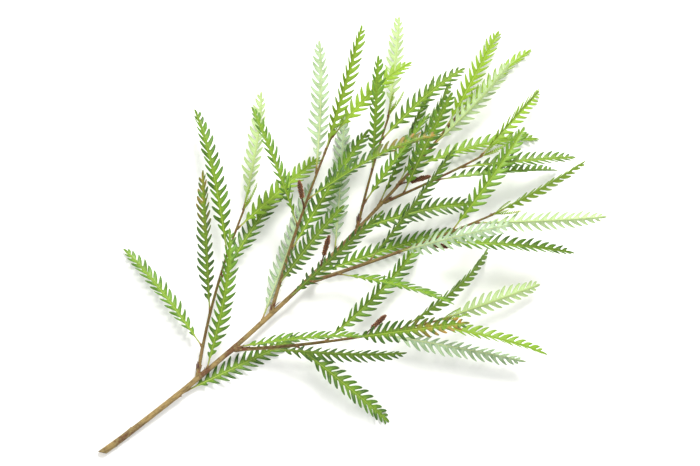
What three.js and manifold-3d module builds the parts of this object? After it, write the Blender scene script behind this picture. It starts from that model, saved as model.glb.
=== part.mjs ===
// A cut stem of grevillea foliage, lying on a table as it would be set down.
// Units are millimetres. +Y runs from the cut end to the tips and +Z points up from the table.
// The origin is the middle of the small flat on which the cut end rests.
// The wood is one solid, each leaf is one solid, and so is each spike of flower buds.
import * as THREE from "three";
import Module from "manifold-3d";

const wasm = await Module();
wasm.setup();

const degree = Math.PI / 180;
const goldenAngle = 137.5; // turn from one leaf to the next round a shoot

const wood = {
  buttRadius: 3.5, // radius of the cut end
  flatRun: 16, // length of the level stretch behind the cut
  cutSlant: 0.9, // how far the cut runs along the stem, per unit across it
  stepLength: 4, // spacing of the points that the shoots are walked in
  ringSpacing: 30,
  mainSides: 8,
  sideSides: 6,
  taperPower: 0.8, // below 1, a shoot loses more of its girth near its root
  cushionRadius: 1.4, // radius of the cushion that a leaf sits on
  cushionRoot: 0.6, // its radius on the shoot's axis, as a share of the shoot's own
  pegSides: 4, // of the cushions and of the stalks of the bud spikes
};

// The shoots, from the main stem outwards. from is the parent's number, and at is the distance along it.
// turn is the angle away from the parent, left being positive, and bend is added to it along the shoot.
// rise is the slope at the root, and sag is added to it along the shoot.
// root and tip are radii, and bare is the length without leaves.
const shoots = [
  {
    name: "main", turn: 1, bend: 15, rise: 3.8, sag: -5.4,
    length: 528, root: 3.5, tip: 1.2, bare: 100, leaves: 14,
  },
  {
    name: "low_left", from: 0, at: 128, turn: 42, bend: -14, rise: 3, sag: -3,
    length: 190, root: 1.9, tip: 1, bare: 34, leaves: 6,
  },
  {
    name: "low_right", from: 0, at: 176, turn: -39, bend: 12, rise: 5, sag: -5,
    length: 228, root: 2.1, tip: 1, bare: 36, leaves: 8,
  },
  {
    name: "mid_left", from: 0, at: 232, turn: 33, bend: -8, rise: 19, sag: -15,
    length: 206, root: 2, tip: 1, bare: 36, leaves: 7,
  },
  {
    name: "fork_right", from: 0, at: 280, turn: -27, bend: 6, rise: 13, sag: -9,
    length: 218, root: 2.3, tip: 1, bare: 38, leaves: 7,
  },
  {
    name: "high_left", from: 0, at: 362, turn: 31, bend: -6, rise: 6, sag: -5,
    length: 130, root: 1.6, tip: 1, bare: 28, leaves: 4,
  },
  {
    name: "high_right", from: 0, at: 402, turn: -25, bend: 5, rise: 24, sag: -18,
    length: 122, root: 1.6, tip: 1, bare: 26, leaves: 4,
  },
];

const leaf = {
  longest: 162,
  shortest: 96,
  petiole: 11, // length without lobes
  petioleHalfWidth: 1.1,
  petioleCrest: 0.7,
  petioleRib: 0.8,
  lobePitch: 9.2, // spacing of the lobes along the midrib
  lobedShare: 0.93, // share of the blade that carries lobes, the rest being the tip
  lobeLength: 15,
  lobeHalfWidth: 2.1,
  lobeCrown: 0.65, // height of a lobe's middle above its edges
  stagger: 0.17, // how far a left lobe lies behind its right one, as a share of the spacing, either way
  baseAngle: 58, // angle of the lobes to the midrib, at the petiole
  tipAngle: 41, // and at the tip
  wing: 1.5, // half the width of the blade between the lobes
  ribTop: 0.35, // height of the midrib above the blade's edges
  ribDepth: 0.85, // and how far it stands out below
  ribTip: 0.45, // share of that depth which is left at the tip
  tipLength: 4, // length of the point beyond the midrib
  cupping: 0.35, // how far a lobe bends back towards its tip
  pathSteps: 40,
  seatGap: 0.3, // between the wood and the foot of the leaf
};

// How the leaves stand on a shoot, in degrees. low and high are the ends of a range that a draw picks from.
const stance = {
  firstLeaf: 170, // where round the main stem the first leaf stands
  shootTurn: 71, // how much further round that is on each next shoot
  spreadLow: 50, // angle to the shoot, of its first leaf
  spreadHigh: 19, // and of its last
  spreadJitter: 8,
  raised: 0.82, // share of the spread that a leaf on top is raised by
  lowered: 0.16, // and that one underneath is lowered by
  onTop: 0.25, // a leaf this near the top or the bottom, as a sine, swings out further
  onTopSwing: 1.6,
  sweepLow: -6, // sideways curve over its length
  sweepHigh: 26,
  archLow: 12, // downward curve over its length
  archHigh: 52,
  archUnder: 0.25,
  leanLow: 6, // roll about the midrib
  leanHigh: 62,
  leanFlipped: 0.5,
  flippedFrom: 0.8, // draws above this one show the underside
  twist: 30,
  foldLow: 16, // how far each half is folded up from flat
  foldHigh: 38,
};

// The spikes of flower buds: the shoot's number, the distance along it, and the turn and slope of the stalk.
const budSpikes = [
  { shoot: 0, at: 306, turn: 32, rise: 34 },
  { shoot: 0, at: 430, turn: -36, rise: 40 },
  { shoot: 2, at: 142, turn: 36, rise: 38 },
  { shoot: 3, at: 122, turn: 34, rise: 36 },
  { shoot: 4, at: 134, turn: -32, rise: 42 },
];
const bud = {
  stalk: 15,
  stalkRadius: 0.9,
  stalkRoot: 0.8,
  length: 27,
  radius: 3.3,
  sides: 8,
  rings: 8,
  relief: 0.28, // how far the buds stand out, as a share of the radius
  roundness: 0.55,
};

// How far apart the sampled points of two neighbours have to stay, and how a leaf looks for such a place.
const clearance = {
  blade: 5.4,
  wood: 2.6,
  bud: 6.5,
  spacing: 5, // of the samples
  nearest: 8, // distance from the leaf's foot to its first sample
  reach: 0.74, // share of a lobe's length that it reaches out from the midrib
  tries: 220,
  spiralStep: 3.8, // degrees
};

const table = {
  midSurface: 0.8, // height that the middle of a pressed blade keeps
  softness: 2.2,
  shallowest: 1, // how far a blade on its edge may be pressed
  deepest: 14, // how much further one may that lies flat
};

const fraction = (x) => x - Math.floor(x);
// Evenly scattered draws from 0 to 1: number k of one of several series.
const seriesSteps = [0.6180339887, 0.7548776662, 0.569840291, 0.8191725134, 0.6710436067, 0.5497004779];
const draw = (k, series) => fraction(0.5 + (k + 1) * seriesSteps[series]);
const between = (low, high, t) => low + (high - low) * t;
const smooth = (t) => {
  const c = Math.min(1, Math.max(0, t));
  return c * c * (3 - 2 * c);
};

// Unit vectors of a path that heads left of +Y by heading and climbs by rise, both in degrees.
function directions(heading, rise) {
  const h = heading * degree;
  const e = rise * degree;
  return {
    along: new THREE.Vector3(-Math.sin(h) * Math.cos(e), Math.cos(h) * Math.cos(e), Math.sin(e)),
    side: new THREE.Vector3(Math.cos(h), Math.sin(h), 0),
    up: new THREE.Vector3(Math.sin(h) * Math.sin(e), -Math.cos(h) * Math.sin(e), Math.cos(e)),
  };
}

// A path from start, walked in equal steps, whose heading and rise are functions of the share walked.
function walk(start, length, steps, heading, rise) {
  const points = [start.clone()];
  for (let i = 0; i < steps; i++) {
    const t = (i + 0.5) / steps;
    points.push(points[i].clone().addScaledVector(directions(heading(t), rise(t)).along, length / steps));
  }
  const at = (distance) => {
    const x = Math.min(steps, Math.max(0, (distance / length) * steps));
    const i = Math.min(steps - 1, Math.floor(x));
    return points[i].clone().lerp(points[i + 1], x - i);
  };
  return { length, heading, rise, at };
}

// Presses what would go through the table down on to it.
function pressed(z) {
  const x = (z - table.midSurface) / table.softness;
  return table.midSurface + table.softness * Math.log1p(Math.exp(x));
}

// How much of a height is left once it is pressed: 1 well above the table and 0 on it.
function tableSlope(z) {
  return 1 / (1 + Math.exp((table.midSurface - z) / table.softness));
}

function solidFrom(positions, triangles) {
  return new wasm.Manifold(
    new wasm.Mesh({
      numProp: 3,
      vertProperties: new Float32Array(positions),
      triVerts: new Uint32Array(triangles),
    }),
  );
}

function geometryFrom(solid) {
  const mesh = solid.getMesh();
  const geometry = new THREE.BufferGeometry();
  geometry.setAttribute("position", new THREE.BufferAttribute(new Float32Array(mesh.vertProperties), 3));
  geometry.setIndex(new THREE.BufferAttribute(new Uint32Array(mesh.triVerts), 1));
  geometry.computeVertexNormals();
  return geometry;
}

// A closed tube through rings of points, all with the same number of sides.
function lofted(rings) {
  const positions = [];
  const triangles = [];
  const sides = rings[0].length;
  for (const ring of rings) {
    for (const p of ring) positions.push(p.x, p.y, p.z);
  }
  for (let i = 0; i + 1 < rings.length; i++) {
    for (let k = 0; k < sides; k++) {
      const a = i * sides + k;
      const b = i * sides + ((k + 1) % sides);
      triangles.push(a, b + sides, b);
      triangles.push(a, a + sides, b + sides);
    }
  }
  const last = (rings.length - 1) * sides;
  for (let k = 1; k + 1 < sides; k++) {
    triangles.push(0, k, k + 1);
    triangles.push(last, last + k + 1, last + k);
  }
  return solidFrom(positions, triangles);
}

// A ring of points round a centre. shear slants it along the path.
function ringAt(centre, frame, radius, sides, shear = 0) {
  return Array.from({ length: sides }, (_, k) => {
    const angle = ((k + 0.5) / sides) * 2 * Math.PI;
    const across = radius * Math.cos(angle);
    return centre
      .clone()
      .addScaledVector(frame.side, across)
      .addScaledVector(frame.up, radius * Math.sin(angle))
      .addScaledVector(frame.along, across * shear);
  });
}

function growShoots() {
  const grown = [];
  for (const plan of shoots) {
    const parent = plan.from === undefined ? null : grown[plan.from];
    const share = parent ? plan.at / parent.length : 0;
    const restingHeight = wood.buttRadius * Math.cos(Math.PI / wood.mainSides);
    const butt = new THREE.Vector3(0, -wood.flatRun / 2, restingHeight);
    const start = parent ? parent.at(plan.at) : butt;
    const startHeading = (parent ? parent.heading(share) : 0) + plan.turn;
    const startRise = (parent ? parent.rise(share) : 0) + plan.rise;
    const flat = parent ? 0 : wood.flatRun;
    const path = walk(
      start,
      plan.length,
      Math.round(plan.length / wood.stepLength),
      (t) => (t * plan.length < flat ? 0 : startHeading + plan.bend * t),
      (t) => (t * plan.length < flat ? 0 : startRise + plan.sag * t),
    );
    const radius = (distance) => {
      const t = Math.min(1, Math.max(0, distance - flat) / plan.length);
      return between(plan.root, plan.tip, t ** wood.taperPower);
    };
    grown.push({ ...plan, ...path, radius, flat, sides: parent ? wood.sideSides : wood.mainSides });
  }
  return grown;
}

function shootSolid(shoot) {
  const count = Math.round(shoot.length / wood.ringSpacing);
  const distances = Array.from({ length: count + 1 }, (_, i) => (i / count) * shoot.length);
  if (shoot.flat) distances.splice(1, 1, shoot.flat);
  const rings = distances.map((distance) => {
    const t = distance / shoot.length;
    const onFlat = shoot.flat > 0 && distance <= shoot.flat;
    const frame = onFlat ? directions(0, 0) : directions(shoot.heading(t), shoot.rise(t));
    const shear = shoot.flat && distance === 0 ? wood.cutSlant : 0;
    return ringAt(shoot.at(distance), frame, shoot.radius(distance), shoot.sides, shear);
  });
  return lofted(rings);
}

// A short tapered peg on the wood: the cushion under a leaf or the stalk of a bud spike.
function pegSolid(root, frame, length, rootRadius, endRadius) {
  const end = root.clone().addScaledVector(frame.along, length);
  return lofted([
    ringAt(root, frame, rootRadius, wood.pegSides),
    ringAt(end, frame, endRadius, wood.pegSides),
  ]);
}

// Length of the lobes at share t of the blade, as a share of the longest.
const shortestLobe = 0.3;
const lobeProfile = (t) =>
  between(shortestLobe, 1, smooth(t / 0.2)) * Math.sqrt(1 - (leaf.lobedShare * t) ** 4);

// A leaf's plan: where it leaves the wood, how it runs, and how many pairs of lobes it has.
function leafPlan(shoot, shootNumber, indexOnShoot, number) {
  const t = indexOnShoot / (shoot.leaves - 1);
  const distance = between(shoot.bare, shoot.length - 5, 1 - (1 - t) ** 1.25);
  const share = distance / shoot.length;
  const around = (indexOnShoot * goldenAngle + shootNumber * stance.shootTurn + stance.firstLeaf) * degree;
  const sideways = Math.sin(around);
  const upwards = Math.cos(around);
  const jitter = stance.spreadJitter * (draw(number, 1) - 0.5);
  const spread = between(stance.spreadLow, stance.spreadHigh, t ** 1.2) + jitter;
  const swing = Math.abs(sideways) < stance.onTop ? stance.onTopSwing : 1;
  const young = smooth((t - 0.55) / 0.45) * (shootNumber === 0 ? 1 : 0.9);
  const shortShoot = shoot.length < 140 ? 0.88 : 1;
  const size = between(0.78, 1, draw(number, 2)) * between(1, 0.74, young) * shortShoot;
  const length = Math.max(leaf.shortest, leaf.longest * size);
  const flipped = draw(number, 0) > stance.flippedFrom;
  const lean = between(stance.leanLow, stance.leanHigh, draw(number, 3));
  return {
    young,
    length,
    root: shoot.at(distance),
    woodRadius: shoot.radius(distance),
    shootFrame: directions(shoot.heading(share), shoot.rise(share)),
    heading: shoot.heading(share) - spread * sideways * swing,
    rise: shoot.rise(share) + spread * (upwards > 0 ? stance.raised : stance.lowered) * upwards,
    sweep: -sideways * between(stance.sweepLow, stance.sweepHigh, draw(number, 4)),
    arch: -between(stance.archLow, stance.archHigh, draw(number, 5)) * (upwards > 0 ? 1 : stance.archUnder),
    roll: (flipped ? 180 : 0) + Math.sign(sideways) * lean * (flipped ? stance.leanFlipped : 1),
    twist: stance.twist * (draw(number, 1) - 0.5),
    fold: between(stance.foldLow, stance.foldHigh, draw(number, 2)),
    pairs: Math.round((length - leaf.petiole) / leaf.lobePitch),
  };
}

// The path of a leaf, with its direction changed by lift and swing.
function leafPath(plan, lift, swing) {
  const startHeading = plan.heading + swing;
  const startRise = plan.rise + lift;
  const startFrame = directions(startHeading, startRise);
  const cosine = startFrame.along.dot(plan.shootFrame.along);
  const sine = Math.sqrt(Math.max(0.09, 1 - cosine ** 2));
  const peg = (plan.woodRadius + wood.cushionRadius) / sine;
  const start = plan.root.clone().addScaledVector(startFrame.along, peg + leaf.seatGap);
  const heading = (t) => startHeading + plan.sweep * t * t;
  const rise = (t) => startRise + plan.arch * t ** 1.3;
  const path = walk(start, plan.length, leaf.pathSteps, heading, rise);
  return { ...path, peg, startFrame, plan };
}

// The middle surface of a leaf at a distance along its midrib and out from it, on the side given as -1 or 1:
// the free point, before the table is in its way, and the normal of the upper face there.
function bladeAt(path, along, out, side) {
  const { plan, length } = path;
  const t = Math.min(1, along / length);
  const frame = directions(path.heading(t), path.rise(t));
  const roll = (plan.roll + plan.twist * t) * degree;
  const across = frame.side.clone().multiplyScalar(Math.cos(roll)).addScaledVector(frame.up, Math.sin(roll));
  const normal = frame.up.clone().multiplyScalar(Math.cos(roll)).addScaledVector(frame.side, -Math.sin(roll));
  const fold = plan.fold * degree;
  const free = path.at(along);
  free.addScaledVector(frame.along, Math.max(0, along - length));
  free.addScaledVector(across, side * out * Math.cos(fold));
  free.addScaledVector(normal, out * Math.sin(fold) * (1 - (leaf.cupping * out) / leaf.lobeLength));
  return { free, normal };
}

// The point of a leaf at a height above its middle surface, towards its upper face.
function leafPoint(path, along, out, side, height) {
  const { free, normal } = bladeAt(path, along, out, side);
  if (along <= leaf.petiole / 2) return free.addScaledVector(normal, height);
  const slope = tableSlope(free.z);
  const lying = new THREE.Vector3(normal.x * slope, normal.y * slope, normal.z).normalize();
  free.z = pressed(free.z);
  return free.addScaledVector(lying, height);
}

// Half the width of the blade between its lobes.
function wingAt(plan, along) {
  const growing = between(0.75, 1, smooth((along - leaf.petiole) / 40));
  return leaf.wing * growing * (along > plan.length * 0.9 ? 0.8 : 1);
}

// One lobe's outline and the crown inside it, as distances along the midrib and out from it.
function lobeOutline(plan, i, side) {
  const pitch = ((plan.length - leaf.petiole) * leaf.lobedShare) / plan.pairs;
  const t = (i + 0.5) / plan.pairs;
  const foot = leaf.petiole + i * pitch + leaf.stagger * pitch * side;
  const angle = between(leaf.baseAngle, leaf.tipAngle, t) * degree;
  const size = leaf.lobeLength * lobeProfile(t) * between(0.86, 1, plan.length / leaf.longest);
  const middle = foot + pitch / 2;
  const wing = wingAt(plan, foot);
  const step = (share, sideStep) => [
    middle + share * size * Math.cos(angle) - sideStep * leaf.lobeHalfWidth * Math.sin(angle),
    wing + share * size * Math.sin(angle) + sideStep * leaf.lobeHalfWidth * Math.cos(angle),
  ];
  return { foot, belly: step(0.52, 1.1), tip: step(1, 0), crown: step(0.42, 0.2) };
}

// A leaf: a midrib with a crest on the upper face and a rib on the lower, and raised lobes on either side.
function leafSolid(path) {
  const { plan } = path;
  const positions = [];
  const triangles = [];
  const add = (along, out, side, height) => {
    const p = leafPoint(path, along, out, side, height);
    positions.push(p.x, p.y, p.z);
    return positions.length / 3 - 1;
  };
  const face = (side, a, b, c) => (side > 0 ? triangles.push(a, b, c) : triangles.push(a, c, b));

  const feet = { "-1": [], 1: [] };
  for (const side of [-1, 1]) {
    for (let i = 0; i <= plan.pairs; i++) feet[side].push(lobeOutline(plan, i, side).foot);
  }
  const stations = [0, leaf.petiole * 0.55];
  const petioleStations = stations.length;
  for (let i = 0; i <= plan.pairs; i++) stations.push((feet[-1][i] + feet[1][i]) / 2);

  const crest = [];
  const rib = [];
  const edge = { "-1": [], 1: [] };
  stations.forEach((along, i) => {
    const onPetiole = i < petioleStations;
    const taper = between(1, leaf.ribTip, along / plan.length);
    crest.push(add(along, 0, 1, onPetiole ? leaf.petioleCrest : leaf.ribTop));
    rib.push(add(along, 0, 1, onPetiole ? -leaf.petioleRib : -leaf.ribDepth * taper));
    for (const side of [-1, 1]) {
      const out = onPetiole ? leaf.petioleHalfWidth : wingAt(plan, along);
      edge[side].push(add(onPetiole ? along : feet[side][i - petioleStations], out, side, 0));
    }
  });

  const last = stations.length - 1;
  const end = add(plan.length + leaf.tipLength, 0, 1, 0);
  for (const side of [-1, 1]) {
    const e = edge[side];
    face(side, crest[0], rib[0], e[0]);
    for (let i = 0; i < petioleStations; i++) {
      face(side, crest[i], e[i], e[i + 1]);
      face(side, crest[i], e[i + 1], crest[i + 1]);
      face(side, rib[i], e[i + 1], e[i]);
      face(side, rib[i], rib[i + 1], e[i + 1]);
    }
    for (let i = petioleStations; i < last; i++) {
      const outline = lobeOutline(plan, i - petioleStations, side);
      const belly = add(...outline.belly, side, 0);
      const tip = add(...outline.tip, side, 0);
      const crown = add(...outline.crown, side, leaf.lobeCrown);
      const round = [crest[i], e[i], belly, tip, e[i + 1], crest[i + 1]];
      round.forEach((a, k) => face(side, a, round[(k + 1) % round.length], crown));
      face(side, rib[i], belly, e[i]);
      face(side, rib[i], rib[i + 1], belly);
      face(side, rib[i + 1], e[i + 1], belly);
      face(side, belly, e[i + 1], tip);
    }
    face(side, crest[last], e[last], end);
    face(side, e[last], rib[last], end);
  }
  return solidFrom(positions, triangles);
}

// Points spread over a leaf, for keeping it clear of the rest, and how much room it has above the table.
function leafSamples(path) {
  const { plan } = path;
  const samples = [];
  let tableRoom = Infinity;
  const spots = [[-1, 1], [-1, 0.5], [1, 0], [1, 0.5], [1, 1]];
  for (let along = clearance.nearest; along <= plan.length + leaf.tipLength; along += clearance.spacing) {
    const t = (along - leaf.petiole) / (plan.length - leaf.petiole);
    const lobe = leaf.lobeLength * clearance.reach * lobeProfile(Math.min(1, t));
    const reach = t < 0.02 ? 1 : wingAt(plan, along) + lobe;
    for (const [side, share] of spots) {
      const { free, normal } = bladeAt(path, along, share * reach, side);
      const depth = table.shallowest + table.deepest * normal.z * normal.z;
      tableRoom = Math.min(tableRoom, free.z - table.midSurface + depth);
      free.z = pressed(free.z);
      samples.push(free);
    }
  }
  return { samples, tableRoom };
}

// The least distance from the samples to what is taken, less the gap that each needs.
function spareRoom(samples, taken) {
  let least = Infinity;
  for (const other of taken) {
    for (const p of samples) least = Math.min(least, p.distanceTo(other.p) - other.gap);
  }
  return least;
}

// The first direction that is clear of what is taken, in a widening spiral round the one that the leaf wants.
function findRoom(plan, taken) {
  let best = { spare: -Infinity };
  for (let k = 0; k < clearance.tries && best.spare < 0; k++) {
    const radius = clearance.spiralStep * Math.sqrt(k);
    const lift = radius * Math.sin(k * goldenAngle * degree);
    const swing = radius * Math.cos(k * goldenAngle * degree);
    const path = leafPath(plan, lift, swing);
    const { samples, tableRoom } = leafSamples(path);
    const spare = Math.min(tableRoom, spareRoom(samples, taken));
    if (spare > best.spare) best = { path, samples, spare };
  }
  return best;
}

// Places the leaves one after another, clear of the wood, of the bud spikes and of the leaves before.
function growLeaves(grown, spikes) {
  const taken = [];
  const placed = [];
  for (const shoot of grown) {
    for (let d = 0; d <= shoot.length; d += clearance.spacing) {
      taken.push({ p: shoot.at(d), gap: shoot.radius(d) + clearance.wood });
    }
  }
  for (const spike of spikes) {
    for (const p of spike.samples) taken.push({ p, gap: clearance.bud });
  }
  grown.forEach((shoot, shootNumber) => {
    for (let i = 0; i < shoot.leaves; i++) {
      const plan = leafPlan(shoot, shootNumber, i, placed.length);
      const { path, samples } = findRoom(plan, taken);
      for (const p of samples) taken.push({ p, gap: clearance.blade });
      placed.push({ path, name: `leaf_${String(placed.length + 1).padStart(2, "0")}` });
    }
  });
  return placed;
}

function growSpikes(grown) {
  return budSpikes.map((plan, i) => {
    const shoot = grown[plan.shoot];
    const share = plan.at / shoot.length;
    const frame = directions(shoot.heading(share) + plan.turn, shoot.rise(share) + plan.rise);
    const root = shoot.at(plan.at);
    const start = root.clone().addScaledVector(frame.along, bud.stalk + leaf.seatGap);
    const samples = [];
    for (let d = 4; d <= bud.stalk + bud.length + 2; d += clearance.spacing) {
      samples.push(root.clone().addScaledVector(frame.along, d));
    }
    return { name: `bud_spike_${i + 1}`, frame, root, start, samples };
  });
}

// A spindle of buds, whose points stand out and in by turns.
function spikeSolid(spike) {
  const rings = [];
  for (let i = 0; i <= bud.rings; i++) {
    const t = i / bud.rings;
    const girth = bud.radius * Math.sin(Math.PI * between(0.1, 0.93, t)) ** bud.roundness;
    const centre = spike.start.clone().addScaledVector(spike.frame.along, t * bud.length);
    const ring = ringAt(centre, spike.frame, 1, bud.sides);
    rings.push(
      ring.map((p, k) => {
        const raised = 1 + ((i + k) % 2 ? bud.relief / 2 : -bud.relief / 2);
        return centre.clone().lerp(p, girth * raised);
      }),
    );
  }
  return lofted(rings);
}

const grownShoots = growShoots();
const grownSpikes = growSpikes(grownShoots);
const grownLeaves = growLeaves(grownShoots, grownSpikes);

// The wood grew as one piece, with the cushions of its leaves and the stalks of its bud spikes.
let woody = shootSolid(grownShoots[0]);
for (const shoot of grownShoots.slice(1)) woody = woody.add(shootSolid(shoot));
for (const { path } of grownLeaves) {
  const { plan, startFrame, peg } = path;
  const rootRadius = wood.cushionRoot * plan.woodRadius;
  woody = woody.add(pegSolid(plan.root, startFrame, peg, rootRadius, wood.cushionRadius));
}
for (const spike of grownSpikes) {
  woody = woody.add(pegSolid(spike.root, spike.frame, bud.stalk, bud.stalkRoot, bud.stalkRadius));
}

const materials = {
  wood: new THREE.MeshStandardMaterial({ color: 0x9c8562, roughness: 0.8, metalness: 0 }),
  leaf: new THREE.MeshStandardMaterial({ color: 0x4f8f35, roughness: 0.5, metalness: 0 }),
  youngLeaf: new THREE.MeshStandardMaterial({ color: 0x9cc04c, roughness: 0.5, metalness: 0 }),
  bud: new THREE.MeshStandardMaterial({ color: 0x53291d, roughness: 0.75, metalness: 0 }),
};
const youngFrom = 0.6;

const stem = new THREE.Group();

function addNode(name, solid, material) {
  const mesh = new THREE.Mesh(geometryFrom(solid), material);
  mesh.name = name;
  stem.add(mesh);
}

addNode("woody_stem", woody, materials.wood);
for (const { name, path } of grownLeaves) {
  addNode(name, leafSolid(path), path.plan.young > youngFrom ? materials.youngLeaf : materials.leaf);
}
for (const spike of grownSpikes) addNode(spike.name, spikeSolid(spike), materials.bud);

export default stem;
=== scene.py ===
import math

import bmesh
import bpy
import numpy as np
from mathutils import Matrix, Vector


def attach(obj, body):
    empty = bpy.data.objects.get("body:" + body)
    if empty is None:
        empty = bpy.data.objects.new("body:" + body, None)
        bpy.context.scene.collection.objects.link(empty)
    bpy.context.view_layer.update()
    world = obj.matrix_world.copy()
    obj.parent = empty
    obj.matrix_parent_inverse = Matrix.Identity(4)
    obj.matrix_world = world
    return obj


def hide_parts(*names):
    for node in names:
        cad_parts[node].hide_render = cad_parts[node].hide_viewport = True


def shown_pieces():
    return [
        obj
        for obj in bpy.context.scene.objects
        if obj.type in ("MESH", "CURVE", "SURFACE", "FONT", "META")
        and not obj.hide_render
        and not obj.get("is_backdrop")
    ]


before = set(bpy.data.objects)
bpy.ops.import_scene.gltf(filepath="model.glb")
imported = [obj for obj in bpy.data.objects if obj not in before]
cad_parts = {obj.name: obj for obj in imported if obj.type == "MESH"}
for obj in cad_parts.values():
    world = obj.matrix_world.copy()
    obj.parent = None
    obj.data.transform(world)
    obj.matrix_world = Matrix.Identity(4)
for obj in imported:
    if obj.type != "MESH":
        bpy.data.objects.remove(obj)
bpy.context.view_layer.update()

# The stem lies on a table: +Y runs from the cut end to the tips and +Z points up. Shapes are worked out in
# millimetres, with angles in degrees, and go into the meshes in metres.
mm = 0.001
goldenAngle = 137.5  # turn from one leaf to the next round a shoot

# How the stem grows: the same values and rule as in the source of the part.
wood = {
    "buttRadius": 3.5, "flatRun": 16, "cutSlant": 0.9, "stepLength": 4,
    "mainSides": 8, "taperPower": 0.8, "cushionRadius": 1.4,
}
shootColumns = ("at", "turn", "bend", "rise", "sag", "length", "root", "tip", "bare", "leaves")
shootRows = [
    (0, 1, 15, 3.8, -5.4, 528, 3.5, 1.2, 100, 14),
    (128, 42, -14, 3, -3, 190, 1.9, 1, 34, 6),
    (176, -39, 12, 5, -5, 228, 2.1, 1, 36, 8),
    (232, 33, -8, 19, -15, 206, 2, 1, 36, 7),
    (280, -27, 6, 13, -9, 218, 2.3, 1, 38, 7),
    (362, 31, -6, 6, -5, 130, 1.6, 1, 28, 4),
    (402, -25, 5, 24, -18, 122, 1.6, 1, 26, 4),
]
leaf = {
    "longest": 162, "shortest": 96, "petiole": 11, "lobePitch": 9.2, "lobedShare": 0.93,
    "lobeLength": 15, "lobeHalfWidth": 2.1, "stagger": 0.17, "baseAngle": 58, "tipAngle": 41,
    "wing": 1.5, "wingAtFoot": 0.75, "wingRun": 40, "wingAtEnd": 0.8, "endFrom": 0.9, "tipLength": 4,
    "cupping": 0.35, "shortestLobe": 0.3, "shortLobeRun": 0.2, "archPower": 1.3, "seatGap": 0.3,
    "pressedFrom": 0.3, "pressedRun": 0.4, "pathSteps": 40, "steepest": 0.3,
}
stance = {  # pairs are the two ends of a range
    "firstLeaf": 170, "shootTurn": 71, "endGap": 5, "crowding": 1.25,
    "spread": (50, 19), "spreadPower": 1.2, "spreadJitter": 8,
    "raised": 0.82, "lowered": 0.16, "onTop": 0.25, "onTopSwing": 1.6,
    "sweep": (-6, 26), "arch": (12, 52), "archUnder": 0.25,
    "lean": (6, 62), "leanFlipped": 0.5, "flippedFrom": 0.8, "twist": 30, "fold": (16, 38),
    "youngFrom": 0.55, "youngRun": 0.45, "sideYouth": 0.9,
    "size": (0.78, 1), "youngSize": 0.74, "shortShoot": 140, "shortShootSize": 0.88,
}
budSpikes = [  # shoot, distance along it, turn and rise
    (0, 306, 32, 34), (0, 430, -36, 40), (2, 142, 36, 38), (3, 122, 34, 36), (4, 134, -32, 42),
]
bud = {"stalk": 15, "stalkRadius": 0.9, "length": 27, "radius": 3.3}
clearance = {
    "blade": 5.4, "wood": 2.6, "bud": 6.5, "spacing": 5, "nearest": 8, "reach": 0.74,
    "tries": 220, "spiralStep": 3.8, "margin": 10,
}
table = {"midSurface": 0.8, "softness": 2.2, "shallowest": 1, "deepest": 14, "lowest": 0}
seriesSteps = [0.6180339887, 0.7548776662, 0.569840291, 0.8191725134, 0.6710436067, 0.5497004779]


def draw(k, series):  # evenly scattered draws from 0 to 1: number k of one of several series
    x = 0.5 + (k + 1) * seriesSteps[series]
    return x - math.floor(x)


def between(low, high, t):
    return low + (high - low) * t


def smooth(t):  # 3t^2 - 2t^3, held at 0 and 1 outside
    c = np.clip(t, 0, 1)
    return c * c * (3 - 2 * c)


def unit(vectors):
    return vectors / np.linalg.norm(vectors, axis=-1, keepdims=True)


# Unit vectors of a path that heads left of +Y by heading and climbs by rise:
# along it, level to its right, and up square to both.
def directions(heading, rise):
    h, e = np.broadcast_arrays(np.radians(heading), np.radians(rise))
    along = np.stack([-np.sin(h) * np.cos(e), np.cos(h) * np.cos(e), np.sin(e)], -1)
    side = np.stack([np.cos(h), np.sin(h), np.zeros_like(h)], -1)
    up = np.stack([np.sin(h) * np.sin(e), -np.cos(h) * np.sin(e), np.cos(e)], -1)
    return along, side, up


def pathFrame(path, share):  # those three at a share of a path's length
    return directions(path["heading"](share), path["rise"](share))


# A path walked from start in equal steps: each step goes where heading and rise point at its middle.
def walk(start, length, steps, heading, rise):
    t = (np.arange(steps) + 0.5) / steps
    moves = directions(heading(t), rise(t))[0] * (length / steps)
    points = np.vstack([start, start + np.cumsum(moves, axis=0)])
    return {"length": length, "steps": steps, "heading": heading, "rise": rise, "points": points}


# The point at a distance along a path, between its two nearest steps.
def pathAt(path, distance):
    x = np.clip(distance / path["length"] * path["steps"], 0, path["steps"])
    i = np.minimum(path["steps"] - 1, np.floor(x).astype(int))
    share = (x - i)[..., None]
    return path["points"][i] * (1 - share) + path["points"][i + 1] * share


def pressed(z):  # a soft ramp that never goes below the table: log(1 + e^x) of the height
    middle, softness = table["midSurface"], table["softness"]
    return middle + softness * np.log1p(np.exp((z - middle) / softness))


def tableSlope(z):
    return 1 / (1 + np.exp((table["midSurface"] - z) / table["softness"]))


def shootRadius(shoot, distance):
    t = np.clip((distance - shoot["flat"]) / shoot["length"], 0, 1)
    return between(shoot["root"], shoot["tip"], t ** wood["taperPower"])


def steadily(first, change, flatShare):  # nothing on the flat run, then from first by an even change
    return lambda t: np.where(t < flatShare, 0, first + change * t)


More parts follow.
